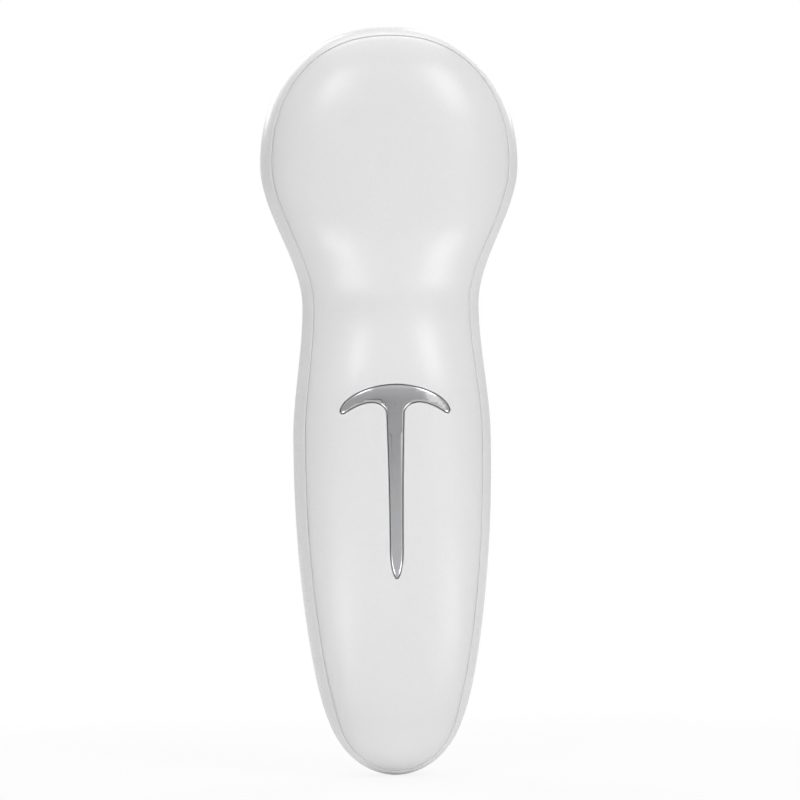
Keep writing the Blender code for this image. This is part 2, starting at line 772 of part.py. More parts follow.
def make_hand_electrode():
    """The polished inlay, flush with the cover, with two studs that pass through it."""
    plate = prism(electrode_outline(), -HEAD_BACK_DEPTH - OVERRUN, 0)
    electrode = add_piece("hand_electrode", plate, POLISHED_STEEL)
    combine(electrode, bpy.data.objects["outside"], "INTERSECT")
    combine(electrode, bpy.data.objects["inlay_floor"], "DIFFERENCE")
    studs = bmesh.new()
    for height, depth in stud_places():
        near = INLAY_THICKNESS / 2 - depth
        rod(studs, STUD_RADIUS, (0, near, height), (0, WALL + STUD_REACH - depth, height))
    combine(electrode, add_cutter("electrode_studs", studs), "UNION")
    names = ("electrode_clip_upper", "electrode_clip_lower")
    for name, (height, depth) in zip(names, stud_places()):
        inner = STUD_RADIUS + RUNNING_GAP
        low = WALL + GAP
        rim = low + CLIP_THICKNESS
        dish = rim + CLIP_THICKNESS
        profile = [
            (inner, low + CLIP_THICKNESS),
            (CLIP_RADIUS, low),
            (CLIP_RADIUS, rim),
            (inner, dish),
        ]
        add_piece(name, turned(profile), SCREW_STEEL, (0, -depth, height))


def make_electrode_contact():
    """A bent leaf on the board that presses on the electrode's upper stud."""
    height, depth = stud_places()[0]
    board_back = BOARD_FRONT - BOARD_THICKNESS - GAP
    stud_end = WALL + STUD_REACH - depth + GAP
    low = height - CONTACT_FOOT
    path = [
        (board_back, low - CONTACT_FOOT / 2),
        (board_back, low),
        (stud_end + CONTACT_TIP, height - CONTACT_TIP),
        (stud_end + CONTACT_THICKNESS, height - STUD_RADIUS),
        (stud_end + CONTACT_THICKNESS, height + STUD_RADIUS),
        (stud_end + CONTACT_TIP, height + CONTACT_TIP),
    ]
    bm = bmesh.new()
    half = CONTACT_WIDTH / 2
    rows = [[bm.verts.new((x, y, z)) for x in (-half, half)] for y, z in path]
    for (a, b), (c, d) in zip(rows, rows[1:]):
        bm.faces.new((a, b, d, c))
    contact = add_piece("electrode_contact", bm, SPRING_BRASS)
    solid = contact.modifiers.new("thickness", "SOLIDIFY")
    solid.thickness = CONTACT_THICKNESS
    solid.offset = 0
    solid.use_even_offset = True


def make_front_shell():
    """The front housing: it wraps round the sides to the parting line on the back."""

    def seam(rim):
        return angle_at_depth(rim, seam_depth(rim) - GAP, BACK, 0)

    def inner_seam(rim):
        return angle_at_depth(rim, seam_depth(rim) - GAP, BACK, WALL)

    rings = skin_rings(crown, edge, FRONT_RINGS, FRONT)
    rings += skin_rings(edge, seam, SIDE_RINGS, BACK)[1:]
    rings += skin_rings(inner_seam, edge, SIDE_RINGS - 1, BACK, WALL)
    rings += skin_rings(edge, crown, INNER_RINGS, FRONT, WALL)[1:]
    shell = add_piece("front_shell", skinned(rings), PLASTIC_WHITE)
    combine(shell, make_shell_ribs(), "UNION")
    combine(shell, make_panel_pocket(), "DIFFERENCE")
    combine(shell, make_shell_holes(), "DIFFERENCE")
    combine(shell, make_collar(), "UNION")
    combine(shell, make_probe_bore(), "DIFFERENCE")


def make_shell_ribs():
    """Screw bosses, battery cradles and the ledges that the cover's hooks catch on."""
    bm = bmesh.new()
    outside = HEAD_FRONT_DEPTH + OVERRUN
    for x, height in board_screw_places():
        rod(bm, BOSS_RADIUS, (x, BOARD_FRONT + GAP, height), (x, outside, height))
    for x, height in ear_places():
        foot = HOLDER_BASE + EAR_THICKNESS + GAP
        rod(bm, BOSS_RADIUS, (x, foot, height), (x, outside, height))
    for x, height in charge_screw_places():
        foot = charge_board_front() + GAP
        rod(bm, CHARGE_BOSS_RADIUS, (x, foot, height), (x, outside, height))
    for height in cradle_heights():
        width = half_width(height)
        low = (-width, CRADLE_BACK, height - CRADLE_WALL / 2)
        high = (width, outside, height + CRADLE_WALL / 2)
        box(bm, low, high)
    for height in hook_heights():
        outer, depth = hook_line(height)
        top = HOOK_REACH - depth - HOOK_HEAD - GAP
        for side in (-1, 1):
            ends = sorted((side * (outer + GAP), side * half_width(height)))
            low = (ends[0], top - LEDGE_THICKNESS, height - HOOK_LENGTH / 2)
            high = (ends[1], top, height + HOOK_LENGTH / 2)
            box(bm, low, high)
    ribs = add_cutter("shell_ribs", bm)
    combine(ribs, bpy.data.objects["middle_of_wall"], "INTERSECT")
    combine(ribs, make_rib_cuts(), "DIFFERENCE")
    return ribs


def cradle_heights():
    return (BATTERY_BOTTOM + CRADLE_INSET, BATTERY_BOTTOM + BATTERY_LENGTH - CRADLE_INSET)


def make_rib_cuts():
    """The battery's space between the cradles, and the pilot holes in the bosses."""
    bm = bmesh.new()
    low = BATTERY_BOTTOM + CRADLE_INSET - OVERRUN
    high = BATTERY_BOTTOM + BATTERY_LENGTH - CRADLE_INSET + OVERRUN
    radius = BATTERY_RADIUS + GAP
    rod(bm, radius, (0, BATTERY_AXIS, low), (0, BATTERY_AXIS, high), BUTTON_STEPS)
    hole = SCREW_RADIUS + RUNNING_GAP
    seats = [(x, BOARD_FRONT + GAP, z) for x, z in board_screw_places()]
    seats += [(x, HOLDER_BASE + EAR_THICKNESS + GAP, z) for x, z in ear_places()]
    seats += [(x, charge_board_front() + GAP, z) for x, z in charge_screw_places()]
    for x, y, z in seats:
        rod(bm, hole, (x, y - OVERRUN, z), (x, y + SCREW_LENGTH - BOARD_THICKNESS, z), BOSS_STEPS)
    return add_cutter("rib_cuts", bm)


def make_collar():
    """The round tower on the head that carries the probe, flared where it leaves the dome."""
    profile = [
        (0, COLLAR_FOOT),
        (COLLAR_FOOT_RADIUS, COLLAR_FOOT),
        (COLLAR_FOOT_RADIUS, (COLLAR_FOOT + COLLAR_FLARE) / 2),
    ]
    flare_steps = 5
    flare_height = COLLAR_FACE - COLLAR_LIP / 2 - COLLAR_FLARE
    for step in range(flare_steps + 1):
        share = step / flare_steps
        radius = COLLAR_RADIUS + (COLLAR_FOOT_RADIUS - COLLAR_RADIUS) * (1 - share) ** 2
        profile.append((radius, COLLAR_FLARE + flare_height * share))
    profile.append((COLLAR_RADIUS - COLLAR_LIP / 2, COLLAR_FACE))
    profile.append((0, COLLAR_FACE))
    bm = turned(profile, PROBE_STEPS, closed=False)
    return add_cutter("probe_collar", bm, (0, 0, HEAD_HEIGHT))


def make_probe_bore():
    """The stepped bore that the plate, seal and holder go into from inside."""
    bore = FLANGE_RADIUS + GAP
    mouth = PLATE_RADIUS + GAP
    lip = COLLAR_FACE - COLLAR_LIP
    profile = [
        (0, HOLDER_BASE - OVERRUN),
        (bore, HOLDER_BASE - OVERRUN),
        (bore, lip),
        (mouth, lip),
        (mouth, COLLAR_FACE + OVERRUN),
        (0, COLLAR_FACE + OVERRUN),
    ]
    bm = turned(profile, PROBE_STEPS, closed=False)
    return add_cutter("probe_bore", bm, (0, 0, HEAD_HEIGHT))


def make_panel_pocket():
    points = stadium(PANEL_WIDTH, PANEL_LENGTH, PANEL_CENTRE, RUNNING_GAP)
    pocket = add_cutter("panel_pocket", prism(points, 0, HEAD_FRONT_DEPTH + OVERRUN))
    combine(pocket, bpy.data.objects["pocket_floor"], "DIFFERENCE")
    return pocket


def panel_holes(name, near, grow=0):
    """Cutters for the buttons and light pipes, from a depth out through the front."""
    bm = bmesh.new()
    far = HEAD_FRONT_DEPTH + OVERRUN
    for height in button_heights().values():
        radius = BUTTON_RADIUS + RUNNING_GAP + grow
        rod(bm, radius, (0, near, height), (0, far, height), BUTTON_STEPS)
    for x in lens_offsets():
        rod(bm, LENS_RADIUS + RUNNING_GAP, (x, near, LENS_HEIGHT), (x, far, LENS_HEIGHT))
    return add_cutter(name, bm)


def make_shell_holes():
    """Holes under the panel, and the slot in the tip for the charging socket."""
    holes = panel_holes("shell_holes", NECK_FRONT_DEPTH / 2)
    slot = add_cutter("socket_slot", socket_block(RUNNING_GAP, -OVERRUN, SOCKET_LENGTH))
    combine(holes, slot, "UNION")
    return holes


def socket_block(grow, low, high):
    """A block with the socket's round-ended section, along Z."""
    radius = SOCKET_DEPTH / 2 + grow
    straight = (SOCKET_WIDTH - SOCKET_DEPTH) / 2
    bm = bmesh.new()
    points = []
    half_turn_steps = 6
    for side, start in ((1, -math.pi / 2), (-1, math.pi / 2)):
        for step in range(half_turn_steps + 1):
            turn = start + math.pi * step / half_turn_steps
            x = side * straight + radius * math.cos(turn)
            points.append((x, SOCKET_AXIS + radius * math.sin(turn), low))
    face = bm.faces.new([bm.verts.new(point) for point in points])
    drawn = bmesh.ops.extrude_face_region(bm, geom=[face])
    moved = [item for item in drawn["geom"] if isinstance(item, bmesh.types.BMVert)]
    bmesh.ops.translate(bm, vec=(0, 0, high - low), verts=moved)
    return bm


def make_probe():
    """The treatment plate and everything that is turned about its axis."""
    centre = (0, 0, HEAD_HEIGHT)
    flange_front = PROBE_FACE - PLATE_HEIGHT + PLATE_WALL
    flange_back = flange_front - PLATE_WALL
    inner = PLATE_RADIUS - PLATE_WALL
    edge_steps = 4
    outside = [(0, PROBE_FACE)]
    for step in range(edge_steps + 1):
        turn = math.pi / 2 * step / edge_steps
        radius = PLATE_RADIUS - PLATE_EDGE_RADIUS * (1 - math.sin(turn))
        outside.append((radius, PROBE_FACE - PLATE_EDGE_RADIUS * (1 - math.cos(turn))))
    outside += [
        (PLATE_RADIUS, flange_front),
        (FLANGE_RADIUS, flange_front),
        (FLANGE_RADIUS, flange_back),
        (inner, flange_back),
        (inner, PROBE_FACE - PLATE_EDGE_RADIUS),
        (PLATE_RADIUS - PLATE_EDGE_RADIUS, PROBE_FACE - PLATE_WALL),
        (0, PROBE_FACE - PLATE_WALL),
    ]
    add_piece("probe_plate", turned(outside, PROBE_STEPS, False), SATIN_STEEL, centre)

    lip = COLLAR_FACE - COLLAR_LIP
    seal = [
        (PLATE_RADIUS + RUNNING_GAP, flange_front + GAP),
        (FLANGE_RADIUS, flange_front + GAP),
        (FLANGE_RADIUS, lip - GAP),
        (PLATE_RADIUS + RUNNING_GAP, lip - GAP),
    ]
    add_piece("probe_seal", turned(seal, PROBE_STEPS), SEAL_GREY, centre)

    ring_foot = COLLAR_FACE + GAP
    ring_inner = PLATE_RADIUS + GAP
    ring_outer = ring_inner + RING_WIDTH
    ring_profile = [(ring_inner, ring_foot), (ring_outer, ring_foot)]
    ring_steps = 4
    for step in range(ring_steps + 1):
        turn = math.pi * step / ring_steps
        radius = (ring_inner + ring_outer) / 2 + RING_WIDTH / 2 * math.cos(turn)
        height = ring_foot + RING_HEIGHT / 2 * (1 + math.sin(turn))
        ring_profile.append((radius, height))
    add_piece("probe_ring", turned(ring_profile, PROBE_STEPS), POLISHED_STEEL, centre)

    piezo_front = PROBE_FACE - PLATE_WALL - GAP
    piezo_back = piezo_front - PIEZO_THICKNESS
    piezo = [(0, piezo_front), (PIEZO_RADIUS, piezo_front), (PIEZO_RADIUS, piezo_back), (0, piezo_back)]
    add_piece("piezo_disc", turned(piezo, 2 * BUTTON_STEPS, False), CERAMIC, centre)

    pad_front = piezo_back - GAP
    pad_back = pad_front - PAD_THICKNESS
    pad = [
        (PAD_HOLE_RADIUS, pad_front),
        (PAD_RADIUS, pad_front),
        (PAD_RADIUS, pad_back),
        (PAD_HOLE_RADIUS, pad_back),
    ]
    add_piece("transducer_pad", turned(pad, BUTTON_STEPS), FOAM_BLACK, centre)
    make_transducer_holder(centre, pad_back - GAP, flange_back - GAP)


def make_transducer_holder(centre, floor, rim):
    """The cup that clamps the plate's flange, held by screws through its ears."""
    inside = PLATE_RADIUS - PLATE_WALL - GAP
    cup = [
        (PAD_HOLE_RADIUS, floor),
        (inside, floor),
        (inside, rim),
        (FLANGE_RADIUS, rim),
        (FLANGE_RADIUS, HOLDER_BASE),
        (FLANGE_RADIUS - HOLDER_WALL, HOLDER_BASE),
        (FLANGE_RADIUS - HOLDER_WALL, rim - HOLDER_FLOOR),
        (inside - HOLDER_WALL, floor - HOLDER_FLOOR),
        (PAD_HOLE_RADIUS, floor - HOLDER_FLOOR),
    ]
    holder = add_piece("transducer_holder", turned(cup, PROBE_STEPS), HOLDER_GREY, centre)
    ears = bmesh.new()
    holes = bmesh.new()
    top = HOLDER_BASE + EAR_THICKNESS
    for x, z in ear_places():
        height = z - HEAD_HEIGHT
        root = (FLANGE_RADIUS - HOLDER_WALL / 2) / EAR_OFFSET
        side = Vector((-height, 0, x)).normalized() * EAR_RADIUS
        inner = Vector((x, 0, height)) * root
        outer = Vector((x, 0, height))
        points = [inner - side, inner + side]
        start = math.atan2(height, x)
        for step in range(BOSS_STEPS + 1):
            turn = start + math.pi / 2 - math.pi * step / BOSS_STEPS
            points.append(outer + Vector((math.cos(turn), 0, math.sin(turn))) * EAR_RADIUS)
        ear = prism([(point.x, point.z) for point in points], HOLDER_BASE, top)
        mesh = bpy.data.meshes.new("ear")
        ear.to_mesh(mesh)
        ear.free()
        ears.from_mesh(mesh)
        bpy.data.meshes.remove(mesh)
        hole = SCREW_RADIUS + RUNNING_GAP
        rod(holes, hole, (x, HOLDER_BASE - OVERRUN, height), (x, top + OVERRUN, height))
    combine(holder, add_cutter("holder_ears", ears, centre), "UNION")
    combine(holder, add_cutter("holder_ear_holes", holes, centre), "DIFFERENCE")


def add_screw(name, x, seat, z):
    """A small pan-head screw whose head lies on a seat and whose shank points to the front."""
    head = seat - GAP
    crown_edge = SCREW_HEAD_RADIUS - SCREW_HEAD_HEIGHT / 2
    profile = [
        (0, head - SCREW_HEAD_HEIGHT),
        (crown_edge, head - SCREW_HEAD_HEIGHT),
        (SCREW_HEAD_RADIUS, head - SCREW_HEAD_HEIGHT / 2),
        (SCREW_HEAD_RADIUS, head),
        (SCREW_RADIUS, head),
        (SCREW_RADIUS, head + SCREW_LENGTH - SCREW_RADIUS),
        (0, head + SCREW_LENGTH),
    ]
    profile = [(radius, y - seat) for radius, y in profile]
    add_piece(name, turned(profile, closed=False), SCREW_STEEL, (x, seat, z))


def make_screws():
    for i, (x, z) in enumerate(ear_places(), 1):
        add_screw(f"holder_screw_{i}", x, HOLDER_BASE, z)
    for i, (x, z) in enumerate(board_screw_places(), 1):
        add_screw(f"board_screw_{i}", x, BOARD_FRONT - BOARD_THICKNESS, z)
    for i, (x, z) in enumerate(charge_screw_places(), 1):
        add_screw(f"charge_screw_{i}", x, charge_board_front() - BOARD_THICKNESS, z)


def board(name, width, length, bottom, front, holes):
    """A flat circuit board with clipped corners and screw holes."""
    left, right = -width / 2, width / 2
    low, high = bottom, bottom + length
    c = BOARD_CORNER
    points = [
        (left + c, low),
        (right - c, low),
        (right, low + c),
        (right, high - c),
        (right - c, high),
        (left + c, high),
        (left, high - c),
        (left, low + c),
    ]
    piece = add_piece(name, prism(points, front - BOARD_THICKNESS, front), BOARD_GREEN)
    bm = bmesh.new()
    for x, z in holes:
        start = (x, front - BOARD_THICKNESS - OVERRUN, z)
        rod(bm, SCREW_RADIUS + RUNNING_GAP, start, (x, front + OVERRUN, z))
    combine(piece, add_cutter(name + "_holes", bm), "DIFFERENCE")


def make_boards():
    board("main_board", BOARD_WIDTH, BOARD_LENGTH, BOARD_BOTTOM, BOARD_FRONT, board_screw_places())
    board(
        "charging_board",
        CHARGE_BOARD_WIDTH,
        CHARGE_BOARD_LENGTH,
        CHARGE_BOARD_BOTTOM,
        charge_board_front(),
        charge_screw_places(),
    )


def make_board_parts():
    """What stands on the board's back: the drive circuit for the transducer."""
    back = BOARD_FRONT - BOARD_THICKNESS - GAP
    top = BOARD_BOTTOM + BOARD_LENGTH
    side = BOARD_WIDTH / 4

    foot = back
    crown_end = back - COIL_HEIGHT
    coil = [
        (0, foot),
        (COIL_RADIUS, foot),
        (COIL_RADIUS, foot - COIL_FLANGE),
        (COIL_WAIST, foot - COIL_FLANGE),
        (COIL_WAIST, crown_end + COIL_FLANGE),
        (COIL_RADIUS, crown_end + COIL_FLANGE),
        (COIL_RADIUS, crown_end),
        (0, crown_end),
    ]
    coil = [(radius, y - back) for radius, y in coil]
    coil_height = BOARD_BOTTOM + BOARD_LENGTH / 3
    add_piece("driver_coil", turned(coil, BUTTON_STEPS, False), FERRITE, (side, back, coil_height))

    groove = CAPACITOR_RADIUS - CAPACITOR_GROOVE
    can = [
        (0, 0),
        (CAPACITOR_RADIUS, 0),
        (CAPACITOR_RADIUS, -CAPACITOR_HEIGHT / 5),
        (groove, -CAPACITOR_HEIGHT / 4),
        (CAPACITOR_RADIUS, -CAPACITOR_HEIGHT / 3),
        (CAPACITOR_RADIUS, CAPACITOR_GROOVE - CAPACITOR_HEIGHT),
        (groove, -CAPACITOR_HEIGHT),
        (0, -CAPACITOR_HEIGHT),
    ]
    can_place = (side, back, top - BOARD_LENGTH / 3)
    add_piece("driver_capacitor", turned(can, BUTTON_STEPS, False), SLEEVE_BLUE, can_place)

    bm = bmesh.new()
    half = TRANSFORMER_WIDTH / 2
    length = TRANSFORMER_LENGTH / 2
    box(bm, (-half, -TRANSFORMER_HEIGHT, -length), (half, 0, length))
    place = (-side, back, top - BOARD_LENGTH / 3)
    core = add_piece("driver_transformer", bm, FERRITE, place)
    window = bmesh.new()
    for end in (-1, 1):
        near = end * (half - TRANSFORMER_LEG)
        ends = sorted((near, end * (half + OVERRUN)))
        leg = length - TRANSFORMER_LEG
        low = (ends[0], -TRANSFORMER_HEIGHT - OVERRUN, -leg)
        high = (ends[1], OVERRUN, leg)
        box(window, low, high)
    combine(core, add_cutter("transformer_window", window, place), "DIFFERENCE")
    winding = bmesh.new()
    inner = TRANSFORMER_HEIGHT / 2
    wound = length - TRANSFORMER_LEG + WELD
    start = (0, -inner, -wound)
    rod(winding, inner - GAP / 2, start, (0, -inner, wound), BUTTON_STEPS)
    bmesh.ops.scale(winding, vec=(1 + WINDING_BULGE / inner, 1, 1), verts=winding.verts)
    combine(core, add_cutter("transformer_winding", winding, place), "UNION")

    bm = bmesh.new()
    half = CHIP_WIDTH / 2
    box(bm, (-half, -CHIP_HEIGHT, -half), (half, 0, half))
    add_piece("control_chip", bm, SWITCH_BLACK, (-side, back, BOARD_BOTTOM + BOARD_LENGTH / 4))


def make_controls():
    """The flush panel, and behind each button its switch on the board."""
    points = stadium(PANEL_WIDTH, PANEL_LENGTH, PANEL_CENTRE)
    panel = add_piece("control_panel", prism(points, 0, HEAD_FRONT_DEPTH + OVERRUN), PANEL_WHITE)
    combine(panel, bpy.data.objects["outside"], "INTERSECT")
    combine(panel, bpy.data.objects["inlay_floor"], "DIFFERENCE")
    combine(panel, panel_holes("panel_holes", 0), "DIFFERENCE")
    for name, height in button_heights().items():
        make_button(name, height)
    for i, x in enumerate(lens_offsets(), 1):
        make_light(i, x)


def make_button(name, height):
    """A button, its switch, and the plunger that the button presses."""
    skin = depth_at(height, FRONT)
    face = skin + BUTTON_PROUD
    inner_wall = skin_depth(BUTTON_FLANGE_RADIUS, height, FRONT, WALL)
    inner_wall = min(inner_wall, skin_depth(0, height + BUTTON_FLANGE_RADIUS, FRONT, WALL))
    flange_front = inner_wall - FLANGE_GAP
    flange_back = flange_front - BUTTON_FLANGE
    switch_foot = BOARD_FRONT + GAP
    plunger_end = switch_foot + SWITCH_HEIGHT + PLUNGER_PROUD
    rounded = BUTTON_RADIUS - BUTTON_EDGE
    dish = BUTTON_RADIUS / 2
    profile = [
        (0, face - BUTTON_DISH),
        (dish, face - BUTTON_DISH / 2),
        (rounded, face),
        (BUTTON_RADIUS - BUTTON_EDGE / 4, face - BUTTON_EDGE / 3),
        (BUTTON_RADIUS, face - BUTTON_EDGE),
        (BUTTON_RADIUS, flange_front),
        (BUTTON_FLANGE_RADIUS, flange_front),
        (BUTTON_FLANGE_RADIUS, flange_back),
        (PUSHER_RADIUS, flange_back),
        (PUSHER_RADIUS, plunger_end + GAP),
        (0, plunger_end + GAP),
    ]
    profile = [(radius, y - face) for radius, y in profile]
    place = (0, face, height)
    add_piece(f"{name}_button", turned(profile, BUTTON_STEPS, False), BUTTON_GREY, place)

    buried = switch_foot + SWITCH_HEIGHT - PLUNGER_BURIED
    plunger = [(0, plunger_end), (PLUNGER_RADIUS, plunger_end), (PLUNGER_RADIUS, buried), (0, buried)]
    plunger = [(radius, y - plunger_end) for radius, y in plunger]
    place = (0, plunger_end, height)
    add_piece(f"{name}_plunger", turned(plunger, closed=False), SWITCH_BLACK, place)

    bm = bmesh.new()
    half = SWITCH_WIDTH / 2
    box(bm, (-half, 0, -half), (half, SWITCH_HEIGHT, half))
    bmesh.ops.bevel(
        bm,
        geom=list(bm.edges),
        offset=SWITCH_EDGE,
        segments=1,
        profile=0.5,
        affect="EDGES",
        material=-1,
    )
    place = (0, switch_foot, height)
    switch = add_piece(f"{name}_switch", bm, SCREW_STEEL, place)
    well = bmesh.new()
    depth = SWITCH_HEIGHT - PLUNGER_BURIED - BUTTON_TRAVEL - GAP
    rod(well, PLUNGER_RADIUS + RUNNING_GAP, (0, depth, 0), (0, SWITCH_HEIGHT + OVERRUN, 0))
    combine(switch, add_cutter(f"{name}_switch_well", well, place), "DIFFERENCE")


def make_light(number, x):
    """A light pipe through the panel, and the lamp on the board behind it."""
    foot = BOARD_FRONT + GAP
    bm = bmesh.new()
    half = LED_WIDTH / 2
    box(bm, (-half, 0, -LED_DEPTH / 2), (half, LED_HEIGHT, LED_DEPTH / 2))
    add_piece(f"status_led_{number}", bm, LENS_CLEAR, (x, foot, LENS_HEIGHT))
    face = skin_depth(x, LENS_HEIGHT, FRONT)
    beside = skin_depth(abs(x) + LENS_FLANGE_RADIUS, LENS_HEIGHT, FRONT, WALL)
    above = skin_depth(x, LENS_HEIGHT + LENS_FLANGE_RADIUS, FRONT, WALL)
    flange_front = min(beside, above) - FLANGE_GAP
    start = foot + LED_HEIGHT + GAP
    profile = [
        (0, face),
        (LENS_RADIUS, face - LENS_RADIUS / 4),
        (LENS_RADIUS, flange_front),
        (LENS_FLANGE_RADIUS, flange_front),
        (LENS_FLANGE_RADIUS, flange_front - LENS_FLANGE),
        (LENS_RADIUS, flange_front - LENS_FLANGE),
        (LENS_RADIUS, start),
        (0, start),
    ]
    profile = [(radius, y - start) for radius, y in profile]
    place = (x, start, LENS_HEIGHT)
    add_piece(f"status_lens_{number}", turned(profile, closed=False), LENS_CLEAR, place)


def make_battery():
    """The cell in its cradles, and the foam that the cover presses on it."""
    bm = bmesh.new()
    top = BATTERY_BOTTOM + BATTERY_LENGTH
    rod(bm, BATTERY_RADIUS, (0, 0, 0), (0, 0, BATTERY_LENGTH), BUTTON_STEPS)
    ends = [e for e in bm.edges if all(abs(f.normal.z) > 0.5 for f in e.link_faces[:1])]
    cap_edges = [e for e in ends if abs(e.verts[0].co.z - e.verts[1].co.z) < WELD]
    bmesh.ops.bevel(
        bm,
        geom=cap_edges,
        offset=BATTERY_EDGE,
        segments=2,
        profile=0.5,
        affect="EDGES",
        material=-1,
    )
    cell = add_piece("battery_cell", bm, SLEEVE_BLUE, (0, BATTERY_AXIS, BATTERY_BOTTOM))
    cap = bmesh.new()
    start = (0, 0, BATTERY_LENGTH - BATTERY_CAP_HEIGHT)
    end = (0, 0, BATTERY_LENGTH + BATTERY_CAP_HEIGHT)
    rod(cap, BATTERY_CAP_RADIUS, start, end)
    place = (0, BATTERY_AXIS, BATTERY_BOTTOM)
    combine(cell, add_cutter("battery_cap", cap, place), "UNION")
    bm = bmesh.new()
    back = BATTERY_AXIS - BATTERY_RADIUS - GAP
    half = BATTERY_PAD_WIDTH / 2
    middle = (BATTERY_BOTTOM + top) / 2
    reach = BATTERY_LENGTH * BATTERY_PAD_SHARE / 2
    box(bm, (-half, back - BATTERY_PAD_THICKNESS, -reach), (half, back, reach))
    add_piece("battery_pad", bm, FOAM_BLACK, (0, 0, middle))


def make_charging_socket():
    """The metal shell of the socket, open at the bottom, with its contact tongue."""
    top = SOCKET_BOTTOM + SOCKET_LENGTH
    socket = add_piece("charging_socket", socket_block(0, SOCKET_BOTTOM, top), SATIN_STEEL)
    mouth = SOCKET_BOTTOM - OVERRUN
    back_wall = top - SOCKET_BACK_WALL
    cavity = add_cutter("socket_cavity", socket_block(-SOCKET_WALL, mouth, back_wall))
    tongue = bmesh.new()
    half = SOCKET_TONGUE_WIDTH / 2
    low = (-half, SOCKET_AXIS - SOCKET_TONGUE / 2, SOCKET_BOTTOM + SOCKET_TONGUE_INSET)
    box(tongue, low, (half, SOCKET_AXIS + SOCKET_TONGUE / 2, top))
    combine(cavity, add_cutter("socket_tongue", tongue), "DIFFERENCE")
    combine(socket, cavity, "DIFFERENCE")


def add_wire(name, route, finish):
    """A wire along a smooth curve through its route's points."""
    points = [Vector(point) for point in route]
    smooth = []
    for i in range(len(points) - 1):
        before = points[max(i - 1, 0)]
        after = points[min(i + 2, len(points) - 1)]
        start_pull = (points[i + 1] - before) / 2
        end_pull = (after - points[i]) / 2
        for step in range(WIRE_PARTS):
            t = step / WIRE_PARTS
            place = points[i] * (2 * t**3 - 3 * t**2 + 1)
            place += start_pull * (t**3 - 2 * t**2 + t)
            place += points[i + 1] * (3 * t**2 - 2 * t**3)
            place += end_pull * (t**3 - t**2)
            smooth.append(place)
    smooth.append(points[-1])
    curve = bpy.data.curves.new(name, "CURVE")
    curve.dimensions = "3D"
    line = curve.splines.new("POLY")
    line.points.add(len(smooth) - 1)
    for point, place in zip(line.points, smooth):
        point.co = (*place, 1)
    curve.bevel_depth = WIRE_RADIUS
    curve.bevel_resolution = 2
    curve.use_fill_caps = True
    curve.materials.append(material(finish))
    wire = bpy.data.objects.new(name, curve)
    bpy.context.scene.collection.objects.link(wire)
    wire.parent = bpy.data.objects["body_centre"]


def make_wires():
    """The leads inside the body, each along its real route."""
    piezo_back = PROBE_FACE - PLATE_WALL - GAP - PIEZO_THICKNESS - GAP
    board_top = BOARD_BOTTOM + BOARD_LENGTH
    board_back = BOARD_FRONT - BOARD_THICKNESS - GAP
    behind = HOLDER_BASE - WIRE_SPACING
    holder_low = HEAD_HEIGHT - FLANGE_RADIUS
    for name, side, finish in (("red", -1, WIRE_RED), ("black", 1, WIRE_BLACK)):
        x = side * WIRE_SPACING / 2
        route = [
            (x, piezo_back, HEAD_HEIGHT),
            (x, piezo_back - PAD_THICKNESS, HEAD_HEIGHT),
            (x, HOLDER_FLOOR + EAR_THICKNESS, HEAD_HEIGHT - PAD_HOLE_RADIUS),
            (x, behind, HEAD_HEIGHT - PLATE_RADIUS / 2),
            (x, behind, holder_low),
            (x, behind, board_top - BOARD_CORNER),
            (x, board_back, board_top - BOARD_SCREW_INSET - BOARD_CORNER),
        ]
        add_wire(f"transducer_lead_{name}", route, finish)
    make_battery_leads(board_back)


def make_battery_leads(board_back):
    """The cell's two leads, and the pair from the charging board, beside the cell."""
    foot = BOARD_BOTTOM + BOARD_SCREW_INSET
    turn = foot - WIRE_SPACING
    top = BATTERY_BOTTOM + BATTERY_LENGTH + BATTERY_CAP_HEIGHT + GAP + WIRE_RADIUS
    low = BATTERY_BOTTOM - GAP - WIRE_RADIUS
    clear = BATTERY_RADIUS + GAP + 2 * WIRE_RADIUS
    beside = clear * math.cos(LEAD_SIDE_ANGLE)
    behind = BATTERY_AXIS - clear * math.sin(LEAD_SIDE_ANGLE)
    red = [
        (0, BATTERY_AXIS, top),
        (WIRE_SPACING / 2, BATTERY_AXIS - WIRE_RADIUS, top + WIRE_RADIUS / 2),
        (WIRE_SPACING, BATTERY_AXIS - WIRE_SPACING / 2, turn + WIRE_RADIUS),
        (WIRE_SPACING, board_back, foot),
    ]
    add_wire("battery_lead_red", red, WIRE_RED)
    black = [
        (0, BATTERY_AXIS, low),
        (-beside / 2, behind / 2, low - WIRE_RADIUS / 2),
        (-beside, behind, low + WIRE_RADIUS),
        (-beside, behind, BATTERY_BOTTOM + CRADLE_INSET),
        (-beside, behind, BATTERY_BOTTOM + BATTERY_LENGTH - WIRE_SPACING),
        (-beside, behind / 2, turn),
        (-beside, board_back, foot),
    ]
    add_wire("battery_lead_black", black, WIRE_BLACK)
    board_y = charge_board_front() - BOARD_THICKNESS - GAP
    start = CHARGE_BOARD_BOTTOM + CHARGE_BOARD_LENGTH / 2
    charging = [
        (WIRE_SPACING / 2, board_y, start),
        (WIRE_SPACING, behind - WIRE_RADIUS, start + WIRE_SPACING),
        (beside, behind, low),
        (beside, behind, BATTERY_BOTTOM + CRADLE_INSET),
        (beside, behind, BATTERY_BOTTOM + BATTERY_LENGTH - WIRE_SPACING),
        (beside, behind / 2, turn),
        (beside, board_back, foot),
    ]
    add_wire("charging_lead", charging, WIRE_BLACK)


